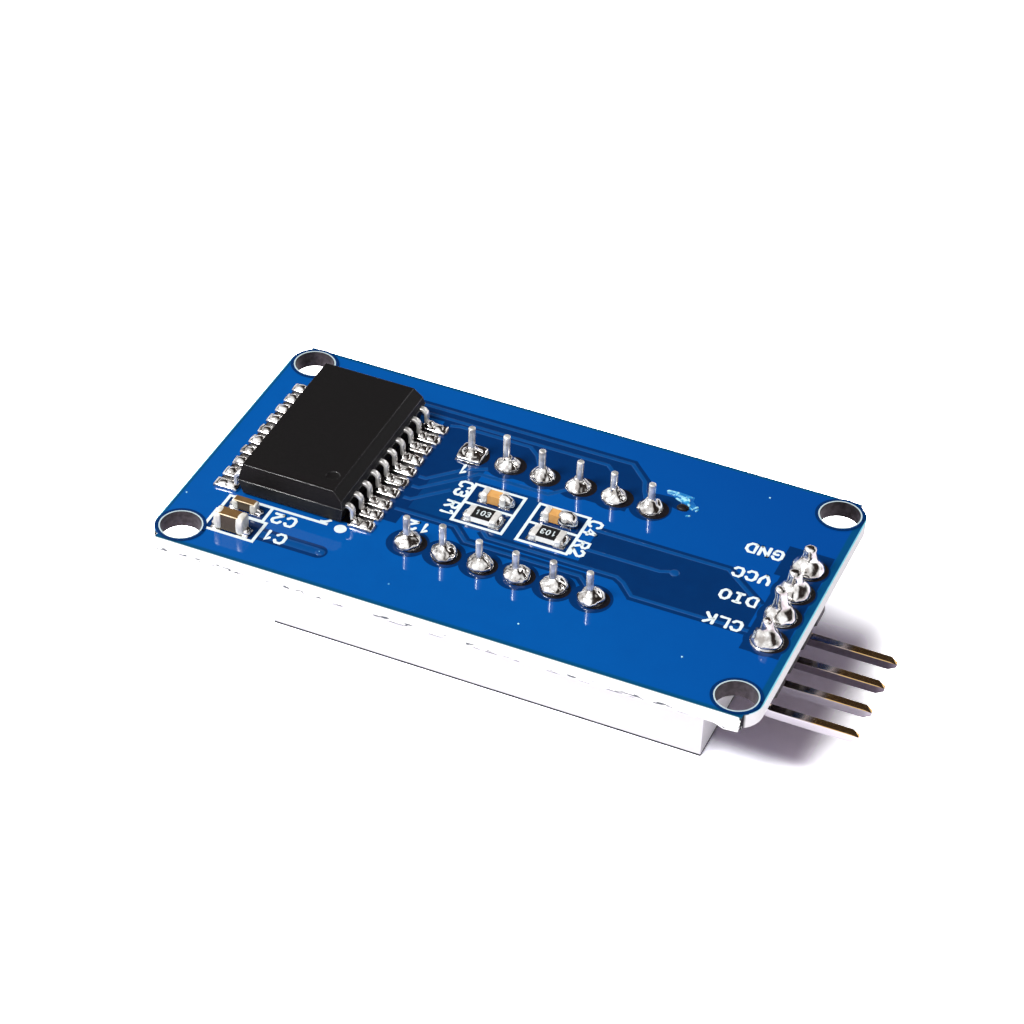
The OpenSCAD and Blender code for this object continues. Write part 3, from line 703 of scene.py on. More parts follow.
def add_modifier(piece, kind, **values):
    """Adds a modifier with its values and applies it at once."""
    only(piece)
    modifier = piece.modifiers.new(kind.lower(), kind)
    for label, value in values.items():
        setattr(modifier, label, value)
    bpy.ops.object.modifier_apply(modifier=modifier.name)


def smooth(piece, angle=40):
    only(piece)
    bpy.ops.object.shade_smooth_by_angle(angle=math.radians(angle))

# %% [markdown]
# ## Soft edges on moulded and bent parts
#
# No real edge is perfectly sharp, and the thin light line along an edge is what makes a part
# look solid. Each hard-edged CAD part is copied, its loose triangles are merged back into
# whole faces, and a small bevel is put on every sharp edge. The copy then stands for the node.

# %% Softened copies
SHARP_FROM = math.radians(28)
SOFT_PARTS = [
    ("driver_chip", 0.1, "chip_black", "chip_black", 3, "chip_edge"),
    ("chip_leads_first_side", 0.05, "lead_metal", "plating"),
    ("chip_leads_far_side", 0.05, "lead_metal", "plating"),
    ("header_housing", 0.05, "housing_black", "housing_black"),
    # The two brown capacitors' bevels carry a cream painted highlight.
    ("c1_ceramic", 0.045, "ceramic_brown", "ceramic_brown", 1, "ceramic_edge"),
    ("c2_ceramic", 0.035, "ceramic_brown", "ceramic_brown", 1, "ceramic_edge"),
] + [(f"header_pin_{n}", 0.05, f"header_metal_{n}", "header_metal") for n in range(1, 5)]


def softened(node, width, material, slot, segments=2, edge=None):
    """A copy with bevelled edges. Where an edge finish is given, the bevels have it."""
    piece = only(copy_of(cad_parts[node], node + "_soft"))
    bpy.ops.object.mode_set(mode="EDIT")
    bpy.ops.mesh.select_all(action="SELECT")
    bpy.ops.mesh.remove_doubles(threshold=0.0005 * MM)
    bpy.ops.mesh.dissolve_limited(angle_limit=math.radians(1))
    bpy.ops.object.mode_set(mode="OBJECT")
    finish_piece(piece, node + "_soft", material, slot, node)
    if edge:
        piece.data.materials.append(FINISH[edge])
    add_modifier(
        piece, "BEVEL", width=width * MM, segments=segments, material=1 if edge else -1,
        limit_method="ANGLE", angle_limit=SHARP_FROM, use_clamp_overlap=True,
    )
    smooth(piece)
    add_modifier(piece, "WEIGHTED_NORMAL", keep_sharp=True, weight=80)
    return piece


for row in SOFT_PARTS:
    softened(*row)
print("softened copies:", len(SOFT_PARTS))

# %% [markdown]
# Twelve pins that were pushed through by hand don't stand quite straight. Each softened pin is
# leaned a little above the board, by moving its vertices in proportion to their height.

# %% Display pins, slightly leaned
PIN_LEANS = [
    (-0.03, 0.0), (-0.05, 0.02), (-0.04, 0.0), (0.03, 0.03), (-0.03, 0.0), (0.03, 0.0),
    (-0.07, 0.0), (-0.06, 0.02), (-0.06, -0.02), (-0.06, 0.0), (-0.07, 0.03), (-0.05, 0.0),
]
for number, (lean_x, lean_y) in enumerate(PIN_LEANS, 1):
    pin = softened(f"display_pin_{number}", 0.03, "tinned_wire", "tinned_pin")
    for vertex in pin.data.vertices:
        rise = max(0.0, vertex.co.z - TOP)
        vertex.co.x += lean_x * rise
        vertex.co.y += lean_y * rise
print("leaned pins:", len(PIN_LEANS))

# %% [markdown]
# ## Tracks and gaps under the mask
#
# Copper under the mask shows as lighter blue, and the bare gaps beside it as navy. Real tracks
# are strips about a thirtieth of a millimetre high that the mask rounds off. So each track is a
# curve swept with a flat domed profile, laid over a wider and lower navy strip for its gaps.
# Curves suit this because a track is drawn the same way: a path and a width.

# %% Swept strips
FIRST_LIFT = 0.002
LIFT_STEP = 0.00012
DOMED_PROFILE = [(-0.5, 0), (-0.42, 0.6), (-0.3, 1), (0.3, 1), (0.42, 0.6), (0.5, 0)]
lift_count = 0


def next_lift():
    """A height just above the last one, so that flat patches never share a plane."""
    global lift_count
    lift_count += 1
    return TOP + (FIRST_LIFT + LIFT_STEP * lift_count) * MM


def set_path(curve, points, height):
    curve.splines.clear()
    spline = curve.splines.new("POLY")
    spline.points.add(len(points) - 1)
    for point, (x, y) in zip(spline.points, points):
        point.co = (x * MM, y * MM, height * MM, 1)


def strip(points, width, height, base):
    """A low domed strip along a path of points in millimetres."""
    bpy.ops.curve.primitive_bezier_curve_add()
    profile = bpy.context.object
    set_path(profile.data, [(x * width, y * height) for x, y in DOMED_PROFILE], 0)
    bpy.ops.curve.primitive_bezier_curve_add()
    path = bpy.context.object
    set_path(path.data, points, base / MM)
    path.data.dimensions = "3D"
    path.data.twist_mode = "Z_UP"
    path.data.bevel_mode = "OBJECT"
    path.data.bevel_object = profile
    path.data.use_fill_caps = True
    only(path)
    bpy.ops.object.convert(target="MESH")
    bpy.data.objects.remove(profile)
    return path


def disc(x, y, radius, base):
    """A flat round patch."""
    bpy.ops.mesh.primitive_circle_add(
        vertices=40, radius=radius * MM, fill_type="NGON", location=(x * MM, y * MM, base)
    )
    return bpy.context.object


def patch(points, base):
    """A flat patch: a closed curve along its outline, filled."""
    bpy.ops.curve.primitive_bezier_circle_add()
    shape = bpy.context.object
    set_path(shape.data, points, 0)
    shape.data.splines[0].use_cyclic_u = True
    shape.data.dimensions = "2D"
    shape.data.fill_mode = "BOTH"
    shape.location.z = base
    only(shape)
    bpy.ops.object.convert(target="MESH")
    return shape

# %% Places of the tracks, in millimetres from the middle of the holes
PIN_PITCH = 2.54
FIRST_PIN_X = -5.15
BACK_ROW_Y = 5.08
PIN_X = [FIRST_PIN_X + i * PIN_PITCH for i in range(6)]
HEADER_X = 18.95
HEADER_Y = [3.51, 0.97, -1.57, -4.11]
TRACKS = [
    [(-13.6, 6.2), (-13.6, 7.65), (-12.4, 8.85), (4.85, 8.85), (6.25, 7.45), (6.6, 6.5), (7.1, 5.6)],
    [(-12.6, 6.2), (-12.6, 7.35), (-11.9, 8.05), (3.4, 8.05), (4.1, 7.4), (4.7, 5.8)],
    [(-7.8, 7.4), (-7.1, 7.6), (-2.0, 7.6), (-1.2, 6.9), (-0.5, 5.7)],
    [(-7.4, 1.5), (-6.9, 1.5), (-4.9, 3.55), (-3.6, 4.2)],
    [(-7.4, 0.4), (-6.9, 0.4), (-4.6, 2.7), (-3.9, 3.45), (1.0, 3.45), (1.9, 4.4)],
    [(-7.4, -0.9), (-6.9, -0.9), (-5.1, 0.9), (-4.9, 1.1)],
    [(-7.4, -2.2), (-3.1, -2.2), (-1.9, -3.35), (6.1, -3.35), (6.9, -4.1)],
    [(-1.3, -1.9), (-0.8, -2.4), (8.2, -2.4), (8.8, -2.75), (9.75, -3.75), (17.6, -3.75)],
    [(5.2, 1.35), (14.4, 1.35), (17.4, -1.1)],
    [(5.2, -0.72), (10.5, -0.72), (11.0, -0.5), (11.4, -0.45)],
]
SHADED_TRACKS = (3, 4, 5)
TRACK_WIDTH = 0.34
GAP_WIDTH = 0.26
TRACK_HEIGHT = 0.016
VIA_PLACES = [(11.4, -0.45), (-9.8, -8.35)]
VIA_SIZE = (0.34 * MM, 0.34 * MM, 0.05 * MM)
CAP_TRACK = [(-14.2, -8.35), (-9.95, -8.35)]
CAP_TRACK_WIDTH = 0.74
CAP_TRACK_HEIGHT = 0.012
TRACK_BASE = TOP + 0.004 * MM
PIN_GAP_RADIUS = 1.42
HEADER_GAP_RADIUS = 1.5
GAP_HEIGHT = 0.003
HOLE_PLACES = [(x, y) for x in (-19.05, 19.05) for y in (-9.74, 9.74)]
HOLE_GAP_RADIUS = 1.55
HOLE_GAP_WIDTH = 0.22
HOLE_GAP_BASE = TOP + 0.0505 * MM
SHADED_AREA = [(-8.3, 3.95), (-3.7, 3.95), (-3.7, 2.75), (0.92, 2.75), (0.92, -2.0), (-8.3, -2.0)]
NAVY_AREAS = [
    [(17.6, 5.3), (20.2, 5.3), (20.2, -5.5), (17.6, -5.5)],
    [(5.4, 1.7), (14.5, 1.7), (17.4, -0.6), (17.4, -4.2), (9.6, -4.2), (8.2, -2.2), (5.4, -2.2)],
    [(-8.3, 8.4), (3.8, 8.4), (6.2, 6.2), (6.2, 3.95), (-4.2, 3.95), (-6.6, 1.6), (-6.7, -3.6), (-8.3, -3.6)],
    [(17.15, 5.3), (18.4, 5.3), (18.4, 2.2), (17.15, 2.2)],
    [(7.2, 6.6), (8.5, 6.75), (9.6, 6.25), (9.9, 5.9), (9.3, 5.6), (8.2, 5.9)],
    [
        (-14.1, 6.2), (-14.1, 7.8), (-12.6, 9.28), (5.0, 9.28), (7.2, 7.0), (6.4, 5.0),
        (3.4, 8.3), (3.2, 7.8), (-11.6, 7.8), (-12.1, 7.2), (-12.1, 6.2),
    ],
]
FRAMED_AREAS = [
    (-3.66, 0.3, 3.6, 2.1), (-3.66, -1.68, 3.6, 2.0),
    (0.88, 0.24, 3.6, 2.1), (0.88, -1.74, 3.6, 2.0),
    (-17.66, -7.24, 3.1, 1.5), (-17.75, -9.35, 3.5, 2.0),
]

# %% Shaded area beside the chip
# The feet and the bent leads shade the board here, so the gaps look softer than elsewhere.
shaded = finish_piece(patch(SHADED_AREA, next_lift()), "shaded_gaps", "mask_in_shade", "mask_blue")
print("shaded gaps:", len(shaded.data.polygons), "faces")

# %% Navy areas and gaps
def block(left, bottom, length, width):
    """The corners of a rectangle."""
    right_end, upper_end = left + length, bottom + width
    return [(left, bottom), (right_end, bottom), (right_end, upper_end), (left, upper_end)]


gaps = [disc(x, y, PIN_GAP_RADIUS, next_lift()) for y in (BACK_ROW_Y, -BACK_ROW_Y) for x in PIN_X]
gaps += [disc(HEADER_X, y, HEADER_GAP_RADIUS, next_lift()) for y in HEADER_Y]
gaps += [patch(area, next_lift()) for area in NAVY_AREAS]
for index, path in enumerate(TRACKS):
    if index not in SHADED_TRACKS:
        gaps.append(strip(path, TRACK_WIDTH + 2 * GAP_WIDTH, GAP_HEIGHT, next_lift()))
for x, y in HOLE_PLACES:
    turns = [t / 8 for t in range(52)]
    circle = [(x + HOLE_GAP_RADIUS * math.cos(t), y + HOLE_GAP_RADIUS * math.sin(t)) for t in turns]
    gaps.append(strip(circle, HOLE_GAP_WIDTH, GAP_HEIGHT, HOLE_GAP_BASE))
gaps.append(strip(CAP_TRACK, CAP_TRACK_WIDTH + 2 * GAP_WIDTH, GAP_HEIGHT, next_lift()))
gaps += [patch(block(*area), next_lift()) for area in FRAMED_AREAS]
gaps.append(disc(*CAP_TRACK[1], CAP_TRACK_WIDTH / 2 + GAP_WIDTH, next_lift()))
etched = finish_piece(join(gaps), "etched_gaps", "mask_over_fibre", "mask_blue")
print("etched gaps:", len(etched.data.polygons), "faces")

# %% Tracks and covered vias
tracks = [strip(path, TRACK_WIDTH, TRACK_HEIGHT, TRACK_BASE) for path in TRACKS]
tracks.append(strip(CAP_TRACK, CAP_TRACK_WIDTH, CAP_TRACK_HEIGHT, TRACK_BASE))
for x, y in VIA_PLACES:
    bpy.ops.mesh.primitive_uv_sphere_add(segments=24, ring_count=12, radius=1, location=(x * MM, y * MM, TOP))
    dome = bpy.context.object
    dome.scale = VIA_SIZE
    tracks.append(bake_place(dome))
raised = finish_piece(join(tracks), "raised_tracks", "mask_over_track", "mask_blue")
smooth(raised, 60)
print("raised tracks:", len(raised.data.polygons), "faces")

# %% [markdown]
# ## Ink: labels on the board
#
# The labels are functional marks that every such board has: the number of each small part, the
# ends of the display's pin count and the names of the four header signals. Board makers draw
# them with a round plotter pen of one width, so they are built the same way: each letter is a
# few paths in a unit square, swept with the pen's profile, with a disc at every path's end.

# %% Pen letters
OPEN_ROUND = [(1, 0.8), (0.78, 1), (0.25, 1), (0, 0.76), (0, 0.24), (0.25, 0), (0.78, 0), (1, 0.2)]
CLOSED_ROUND = [(0.3, 0), (0.7, 0), (1, 0.25), (1, 0.75), (0.7, 1), (0.3, 1), (0, 0.75), (0, 0.25), (0.3, 0)]
PEN_LETTERS = {
    "C": [OPEN_ROUND],
    "G": [OPEN_ROUND, [(1, 0.2), (1, 0.46), (0.55, 0.46)]],
    "N": [[(0, 0), (0, 1)], [(0, 1), (1, 0)], [(1, 0), (1, 1)]],
    "D": [[(0, 0), (0, 1), (0.62, 1), (1, 0.72), (1, 0.28), (0.62, 0), (0, 0)]],
    "V": [[(0, 1), (0, 0.55), (0.5, 0)], [(0.5, 0), (1, 0.55), (1, 1)]],
    "I": [[(0.5, 0), (0.5, 1)], [(0.12, 1), (0.88, 1)], [(0.12, 0), (0.88, 0)]],
    "O": [CLOSED_ROUND],
    "L": [[(0, 1), (0, 0), (0.95, 0)]],
    "K": [[(0, 0), (0, 1)], [(0.95, 1), (0, 0.42)], [(0.32, 0.58), (1, 0)]],
    "R": [[(0, 0), (0, 1), (0.7, 1), (1, 0.84), (1, 0.64), (0.7, 0.48), (0, 0.48)], [(0.5, 0.48), (1, 0)]],
    "0": [CLOSED_ROUND],
    "1": [[(0.2, 0.74), (0.58, 1), (0.58, 0)]],
    "2": [[(0, 0.78), (0.22, 1), (0.75, 1), (1, 0.8), (1, 0.6), (0, 0)], [(0, 0), (1, 0)]],
    "3": [
        [(0, 0.84), (0.22, 1), (0.72, 1), (1, 0.84), (1, 0.66), (0.72, 0.52), (0.4, 0.52)],
        [(0.72, 0.52), (1, 0.38), (1, 0.16), (0.72, 0), (0.22, 0), (0, 0.16)],
    ],
    "4": [[(0.72, 0), (0.72, 1)], [(0.72, 1), (0, 0.34), (1, 0.34)]],
}
INK_HEIGHT = 0.01
PEN_END_RISE = 0.0095


def pen_marks(words, middle, letter, pitch, turn, pen, base):
    """Letters of one size round a middle. All sizes are in millimetres."""
    wide, tall = letter
    strokes = []
    for index, name in enumerate(words):
        start = (index - (len(words) - 1) / 2) * pitch - (wide - pen) / 2
        for path in PEN_LETTERS[name]:
            points = [(start + x * (wide - pen), (y - 0.5) * (tall - pen)) for x, y in path]
            strokes.append(strip(points, pen, INK_HEIGHT, base))
            for x, y in (points[0], points[-1]):
                strokes.append(disc(x, y, pen / 2, base + PEN_END_RISE * MM))
    mark = join(strokes)
    mark.rotation_euler.z = math.radians(turn)
    mark.location = (middle[0] * MM, middle[1] * MM, 0)
    return bake_place(mark)


SMALL_LETTER = (0.8, 1.06)
LARGE_LETTER = (0.8, 1.1)
PEN = 0.23
LABELS = [
    ("C3", (-4.18, 1.58), SMALL_LETTER, 0.9, -90),
    ("R1", (-4.18, -0.66), SMALL_LETTER, 0.86, -90),
    ("C4", (5.03, 1.42), SMALL_LETTER, 0.88, -90),
    ("R2", (5.03, -0.84), SMALL_LETTER, 0.88, -90),
    ("C2", (-13.28, -6.48), LARGE_LETTER, 0.92, 180),
    ("C1", (-13.1, -8.26), LARGE_LETTER, 0.88, 180),
    ("1", (-5.05, 3.45), LARGE_LETTER, 0.9, 180),
    ("12", (-5.2, -3.3), SMALL_LETTER, 0.86, 180),
    ("GND", (15.88, 4.05), LARGE_LETTER, 0.9, 180),
    ("VCC", (15.95, 1.4), LARGE_LETTER, 0.9, 180),
    ("DIO", (15.95, -1.0), LARGE_LETTER, 0.9, 180),
    ("CLK", (15.88, -3.6), LARGE_LETTER, 0.9, 180),
]
CHIP_CORNER_MARK = [(-11.2, -5.5), (-10.95, -5.47), (-10.75, -5.36), (-10.55, -5.12)]
PRINT_BASE = TOP + 0.016 * MM
marks = [pen_marks(*row, PEN, PRINT_BASE) for row in LABELS]
marks.append(strip(CHIP_CORNER_MARK, PEN, INK_HEIGHT, PRINT_BASE))
finish_piece(join(marks), "board_labels", "ink_white", "board_print")
print("labels:", ", ".join(row[0] for row in LABELS))

# %% Value marks on the resistors
VALUE_LETTER = (0.3, 0.54)
VALUE_PITCH = 0.37
VALUE_PEN = 0.085


def value_mark(node, turn):
    low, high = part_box(node)
    middle = (low + high) / 2 / MM
    return pen_marks("103", middle, VALUE_LETTER, VALUE_PITCH, turn, VALUE_PEN, high.z + 0.001 * MM)


values = [value_mark("r1_glaze", 0), value_mark("r2_glaze", 180)]
finish_piece(join(values), "resistor_values", "ink_white", "board_print")
print("value marks:", len(values))

# %% [markdown]
# ## Solder joints
#
# A joint is solder that wetted the land and climbed the pin before it froze: a rounded skirt,
# straight or hollow flanks and a thin collar. It starts as a circle that is extruded upwards
# and scaled ring by ring. The back row's joints are cones and the front row's are plumper. No
# two froze alike, so each copy is turned, stretched a little and pushed in and out by a cloud
# texture that is read at its own place on the board. Low blobs are mounds: a cube that is
# subdivided, pulled towards a sphere and cut flat at the land.

# %% Joint helpers
random.seed(11)
SUNK = 0.01 * MM
WHOLE_TURN = 6.28
RING_CORNERS = 28


def make_cloud(name, size):
    cloud = bpy.data.textures.new(name, "CLOUDS")
    cloud.noise_scale = size * MM
    cloud.noise_depth = 1
    return cloud


FINE_CLOUD = make_cloud("fine_clouds", 0.6)
BROAD_CLOUD = make_cloud("broad_clouds", 1.1)


def ringed_form(rings):
    """A closed round form from (radius, height) pairs, in millimetres, bottom first."""
    radius, height = rings[0]
    bpy.ops.mesh.primitive_circle_add(
        vertices=RING_CORNERS, radius=radius * MM, location=(0, 0, height * MM)
    )
    piece = bpy.context.object
    bpy.ops.object.mode_set(mode="EDIT")
    for (r0, z0), (r1, z1) in zip(rings, rings[1:]):
        bpy.ops.mesh.extrude_region_move(TRANSFORM_OT_translate={"value": (0, 0, (z1 - z0) * MM)})
        bpy.ops.transform.resize(value=(r1 / r0, r1 / r0, 1), center_override=(0, 0, z1 * MM))
    bpy.ops.mesh.select_all(action="SELECT")
    bpy.ops.mesh.fill_holes(sides=0)
    bpy.ops.mesh.normals_make_consistent(inside=False)
    bpy.ops.object.mode_set(mode="OBJECT")
    return bake_place(piece)


def frozen(piece, strength, levels, cloud):
    """Rounds the form off and pushes it in and out by the clouds at its place."""
    if levels:
        add_modifier(piece, "SUBSURF", levels=levels, render_levels=levels)
    add_modifier(
        piece, "DISPLACE", texture=cloud, texture_coords="GLOBAL",
        strength=strength * MM, mid_level=0.5, direction="NORMAL",
    )
    smooth(piece, 80)

# %% Mounds
def mesh_box(piece):
    values = list(zip(*(vertex.co for vertex in piece.data.vertices)))
    return Vector(map(min, values)), Vector(map(max, values))


def pulled_block(size, roundness, cuts, flat_bottom):
    """A plump block with a size in millimetres. With a flat bottom, it stands on z = 0."""
    bpy.ops.mesh.primitive_cube_add(size=2, location=(0, 0, 0))
    piece = bpy.context.object
    bpy.ops.object.mode_set(mode="EDIT")
    bpy.ops.mesh.select_all(action="SELECT")
    bpy.ops.mesh.subdivide(number_cuts=cuts)
    bpy.ops.transform.tosphere(value=roundness)
    if flat_bottom:
        bpy.ops.mesh.bisect(plane_co=(0, 0, 0), plane_no=(0, 0, 1), clear_inner=True, use_fill=True)
    bpy.ops.object.mode_set(mode="OBJECT")
    low, high = mesh_box(piece)
    grow = [wanted * MM / (h - l) for wanted, l, h in zip(size, low, high)]
    piece.data.transform(Matrix.Diagonal((*grow, 1)))
    return piece


def mound(size, roundness, cuts=5):
    return pulled_block(size, roundness, cuts, True)

# %% Display joints
CONE_RINGS = [
    (0.84, -0.03), (0.88, 0.02), (0.85, 0.12), (0.72, 0.26),
    (0.52, 0.42), (0.36, 0.56), (0.28, 0.7), (0.23, 0.78),
]
DOME_RINGS = [
    (0.84, -0.03), (0.9, 0.04), (0.92, 0.14), (0.84, 0.32),
    (0.66, 0.47), (0.45, 0.56), (0.3, 0.64), (0.24, 0.74),
]
SQUARE_PAD = (1.8, 1.8, 0.3)
DISPLAY_WAVES = 0.2
PAD_WAVES = 0.16


def place_joint(form, place, strength, levels, scale=(1, 1, 1), turn=0, cloud=FINE_CLOUD):
    joint = copy_of(form, form.name + "_copy")
    joint.rotation_euler.z = turn
    joint.scale = scale
    joint.location = place
    bake_place(joint)
    frozen(joint, strength, levels, cloud)
    return joint


def display_joints(name, y, node, rings):
    form = ringed_form(rings)
    joints = []
    for x in PIN_X:
        stretch = random.uniform(0.95, 1.07)
        scale = (stretch, 2 - stretch, random.uniform(0.88, 1.1))
        turn = random.uniform(0, WHOLE_TURN)
        joints.append(place_joint(form, (x * MM, y * MM, LAND), DISPLAY_WAVES, 2, scale, turn))
    if y > 0:
        pad = mound(SQUARE_PAD, 0.1)
        joints.append(place_joint(pad, (PIN_X[0] * MM, y * MM, LAND - SUNK), PAD_WAVES, 1))
        bpy.data.objects.remove(pad)
    bpy.data.objects.remove(form)
    return finish_piece(join(joints), name, "solder_bright", "solder", node)


for name, y, node, rings in (
    ("back_row_joints", BACK_ROW_Y, "display_solder_back_row", CONE_RINGS),
    ("front_row_joints", -BACK_ROW_Y, "display_solder_front_row", DOME_RINGS),
):
    joints = display_joints(name, y, node, rings)
    print(name, len(joints.data.polygons), "faces")

# %% [markdown]
# The header's joints are larger and stand higher. Each one has its own list of rings: a broad
# body that tops out below a millimetre, then a spike of solder up the post. Where the iron was
# pulled away sideways, the upper rings lean with it, which a shear of the finished form gives.

# %% Header joints, which cover the pins' ends
HEADER_WAVES = 0.24
BODY_RINGS = [(1.0, -0.03), (1.08, 0.03), (1.07, 0.16), (0.96, 0.4), (0.76, 0.64)]
SPIKES = [
    ([(0.56, 0.84), (0.47, 1.02), (0.42, 1.3), (0.38, 1.62), (0.3, 1.82)], (0.06, 0.02)),
    ([(0.58, 0.82), (0.48, 1.0), (0.42, 1.28), (0.37, 1.6), (0.28, 1.78)], (-0.04, 0.03)),
    ([(0.52, 0.86), (0.46, 1.1), (0.43, 1.5), (0.38, 2.0), (0.24, 2.3)], (-0.07, 0.0)),
    ([(0.62, 0.8), (0.5, 0.96), (0.43, 1.2), (0.36, 1.5), (0.24, 1.68)], (-0.04, 0.04)),
]


def header_joints():
    joints = []
    for y, (spike, lean) in zip(HEADER_Y, SPIKES):
        form = ringed_form(BODY_RINGS + spike)
        form.data.transform(Matrix(((1, 0, lean[0], 0), (0, 1, lean[1], 0), (0, 0, 1, 0), (0, 0, 0, 1))))
        scale = (random.uniform(0.98, 1.06), random.uniform(0.94, 1.02), 1)
        place = (HEADER_X * MM, y * MM, LAND)
        joints.append(place_joint(form, place, HEADER_WAVES, 2, scale, cloud=BROAD_CLOUD))
        bpy.data.objects.remove(form)
    return finish_piece(join(joints), "header_joints", "solder_bright", "solder", "header_solder")


print("header joints:", len(header_joints().data.polygons), "faces")

# %% [markdown]
# ## Solder on the chip's feet and the small parts
#
# Each foot sits in a low bed of solder that covers its land, with a plump mound at the toe and
# one behind the heel.

# %% Solder on the feet
FOOT_FORMS = [
    ((1.76, 0.9, 0.2), 0.22, 0.72),
    ((0.8, 0.76, 0.33), 0.6, 0.44),
    ((0.7, 0.8, 0.42), 0.6, 1.12),
]
FOOT_WAVES = 0.1
FLOW_TO_FRONT = 0.1
PAD_END_PAST_TIP = 0.42
LEADS_IN_ROW = 10
LEAD_WIDTH = 0.41


def foot_solder():
    """Three mounds for each of the twenty feet, with their distances from the land's outer end."""
    low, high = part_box("chip_leads_first_side")
    far_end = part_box("chip_leads_far_side")[0].x
    first_y = low.y + (LEAD_WIDTH / 2 - FLOW_TO_FRONT) * MM
    pitch = (high.y - low.y - LEAD_WIDTH * MM) / (LEADS_IN_ROW - 1)
    forms = [(mound(size, roundness), inset) for size, roundness, inset in FOOT_FORMS]
    blobs = []
    for tip, sign in ((high.x, 1), (far_end, -1)):
        land_end = tip + sign * PAD_END_PAST_TIP * MM
        for index in range(LEADS_IN_ROW):
            for form, inset in forms:
                scale = (random.uniform(0.94, 1.06), random.uniform(0.94, 1.08), random.uniform(0.85, 1.15))
                place = (land_end - sign * inset * MM, first_y + index * pitch, LAND - SUNK)
                blobs.append(place_joint(form, place, FOOT_WAVES, 0, scale))
    for form, inset in forms:
        bpy.data.objects.remove(form)
    return finish_piece(join(blobs), "foot_solder", "solder_bright", "solder", "chip_solder")


print("foot solder:", len(foot_solder().data.polygons), "faces")

# %% [markdown]
# The end caps of the small parts were dipped, so their metal swells over the ceramic. Each cap
# is a pulled block too, but a whole one. The solder that holds it is a mound at its foot, and
# at the header side of the two tan capacitors it is a ball that hides the whole cap.

# %% End caps
CAP_OVERLAP = 0.04
CAP_WAVES = 0.04
CAPS = {
    "c1": (0.5, 0.12, 0.0, 0.32, "cap_cream"), "c2": (0.4, 0.0, -0.06, 0.3, "cap_cream"),
    "c3": (0.38, 0.08, 0.06, 0.2, "cap_metal"), "c4": (0.38, 0.08, 0.06, 0.2, "cap_metal"),
    "r1": (0.36, 0.05, 0.03, 0.12, "cap_metal"), "r2": (0.36, 0.05, 0.03, 0.12, "cap_metal"),
}


def end_caps(part, band, swell_y, swell_z, roundness, metal):
    """Swollen caps over both ends: their length, their swell sideways and upwards, roundness."""
    low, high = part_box(part + "_ends")
    wide = (high.y - low.y) / MM + swell_y
    tall = (high.z - low.z) / MM + swell_z
    caps = []
    for end, sign in ((low.x, -1), (high.x, 1)):
        cap = pulled_block((band + 2 * CAP_OVERLAP, wide, tall), roundness, 4, False)
        middle = end - sign * (band / 2 - CAP_OVERLAP) * MM
        cap.location = (middle, (low.y + high.y) / 2, LAND + tall / 2 * MM)
        bake_place(cap)
        frozen(cap, CAP_WAVES, 1, FINE_CLOUD)
        caps.append(cap)
    return finish_piece(join(caps), part + "_caps", metal, "end_metal", part + "_ends")


for part, row in CAPS.items():
    end_caps(part, *row)
print("parts with caps:", ", ".join(CAPS))

# %% Solder at the small parts' ends
BALL_ENDED = ("c3", "c4")
END_WAVES = 0.12
END_ROUNDNESS = 0.72
END_SOLDER = {
    "c1": ((0.42, 0.9, 0.5), (0.46, 0.9, 0.46)), "c2": ((0.4, 0.7, 0.4), (0.52, 0.66, 0.36)),
    "c3": ((0.46, 0.62, 0.6), (0.66, 0.82, 0.86)), "c4": ((0.46, 0.64, 0.6), (0.76, 0.96, 1.04)),
    "r1": ((0.4, 0.94, 0.4), (0.42, 0.94, 0.46)), "r2": ((0.4, 0.94, 0.4), (0.42, 0.94, 0.48)),
}


def end_solder():
    """Solder at both ends: its reach, its width as a share of the part's, and its height. On the
    ball-ended parts the width is in millimetres."""
    blobs = []
    for part, ends in END_SOLDER.items():
        low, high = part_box(part + "_ends")
        for edge, sign, (reach, width, rise) in zip((low.x, high.x), (-1, 1), ends):
            wide = width if part in BALL_ENDED else (high.y - low.y) / MM * width
            form = mound((2 * reach, wide, rise), END_ROUNDNESS)
            place = (edge - sign * CAP_OVERLAP * MM, (low.y + high.y) / 2, LAND - SUNK)
            blobs.append(place_joint(form, place, END_WAVES, 1))
            bpy.data.objects.remove(form)
    return finish_piece(join(blobs), "small_part_joints", "solder_bright", "solder", "small_part_solder")


print("end solder:", len(end_solder().data.polygons), "faces")

# %% [markdown]
# ## Traces of hand work, and painted shadow
#
# Whoever soldered this board left flux behind, and beyond the last pin of the back row a drop
# of it has cracked into glassy splinters. The dark discs beside the joints, set towards the side
# away from the lamp, and the dark strips along the chip's feet are painted shadow. A few specks
# of dust catch the light.

# %% Flux, painted shadow and specks
# Painted shadow: strips along the chip's feet and discs beside the joints, pushed away from the lamp.
CHIP_SIDES = [(-18.25, 1.5), (-9.0, 1.9)]
CHIP_FRONT_Y = -4.92
CHIP_SHADOW_LENGTH = 11.8
PIN_SHADOWS = [(BACK_ROW_Y, 1.02), (-BACK_ROW_Y, 0.98)]
PIN_SHADOW_SHIFT = 0.2
HEADER_SHADOW = (0.22, 0.05, 1.16)
STRAY_DROP = (9.5, 5.95)
STRAY_DROP_SIZE = (0.85, 0.68, 0.2)
FILM_BASE = TOP + 0.012 * MM
CHIP_SHADOW_BASE = TOP + 0.013 * MM
PIN_SHADOW_BASE = TOP + 0.014 * MM
HEADER_SHADOW_BASE = TOP + 0.0145 * MM
FILM = [
    (7.95, 7.38), (8.9, 7.42), (9.85, 7.3), (9.9, 6.85), (10.5, 6.25),
    (10.3, 5.95), (9.8, 6.3), (9.2, 6.42), (8.5, 6.85),
]
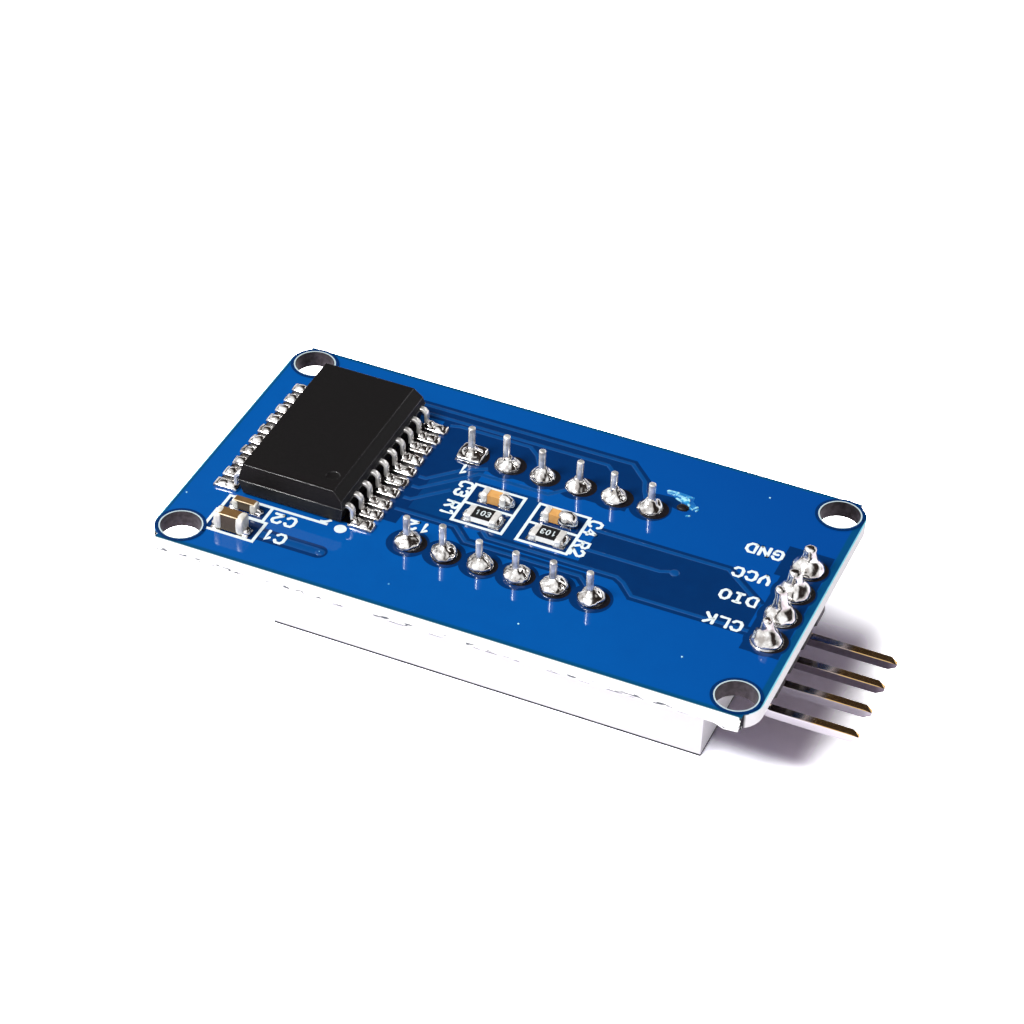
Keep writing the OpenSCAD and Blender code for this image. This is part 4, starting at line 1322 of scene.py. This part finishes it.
SPLINTERS = [
    (8.35, 7.25, 0.9, 0.13, 6), (8.95, 7.02, 1.0, 0.12, -12), (9.35, 6.72, 0.7, 0.26, -30),
    (9.5, 7.14, 0.5, 0.1, 14), (9.0, 6.62, 0.6, 0.12, -18), (9.72, 6.45, 0.46, 0.13, -55),
    (10.28, 6.3, 0.42, 0.12, 48), (10.45, 6.08, 0.3, 0.09, 60), (10.1, 5.3, 0.34, 0.09, 28),
    (8.3, 7.0, 0.6, 0.07, -4), (9.55, 6.9, 0.5, 0.12, -62), (10.02, 6.08, 0.34, 0.09, -30),
]
SPLINTER_HEIGHT = 0.07
SPECK_SIZE = (0.13, 0.11, 0.06)
SPECKS = [(14.29, 9.44), (14.74, -7.8), (-20.3, -6.6), (4.4, -9.3), (-4.5, -9.3), (-9.86, -8.33)]


def set_down(form, x, y, turn=0):
    """Places a form on the board and turns it, in degrees."""
    form.rotation_euler.z = math.radians(turn)
    form.location = (x * MM, y * MM, TOP)
    return bake_place(form)


flux = []
# Painted shadow along each row of the chip's feet.
for x, width in CHIP_SIDES:
    flux.append(patch(block(x - width / 2, CHIP_FRONT_Y, width, CHIP_SHADOW_LENGTH), CHIP_SHADOW_BASE))
# Painted shadow: a dark disc beside each joint, on the side away from the lamp.
for x in PIN_X:
    for y, radius in PIN_SHADOWS:
        near_x = x + PIN_SHADOW_SHIFT + random.uniform(-0.05, 0.1)
        near_y = y + random.uniform(-0.1, 0.12)
        flux.append(disc(near_x, near_y, radius, PIN_SHADOW_BASE))
# Painted shadow beside the header's joints.
for y in HEADER_Y:
    flux.append(disc(HEADER_X + HEADER_SHADOW[0], y + HEADER_SHADOW[1], HEADER_SHADOW[2], HEADER_SHADOW_BASE))
# A real dark drop of flux beyond the last pin of the back row.
flux.append(set_down(mound(STRAY_DROP_SIZE, 0.9), *STRAY_DROP))
finish_piece(join(flux), "flux_drop_and_painted_shadows", "flux_drop_and_painted_shadow", "solder")
finish_piece(patch(FILM, FILM_BASE), "flux_film", "flux_film", "solder")
splinters = []
for x, y, length, width, turn in SPLINTERS:
    splinters.append(set_down(mound((length, width * 1.35, SPLINTER_HEIGHT), 0.5, 3), x, y, turn))
for x, y in SPECKS:
    splinters.append(set_down(mound(SPECK_SIZE, 0.9, 2), x, y))
finish_piece(join(splinters), "flux_splinters", "flux_glass", "solder")
print("splinters and specks:", len(splinters))
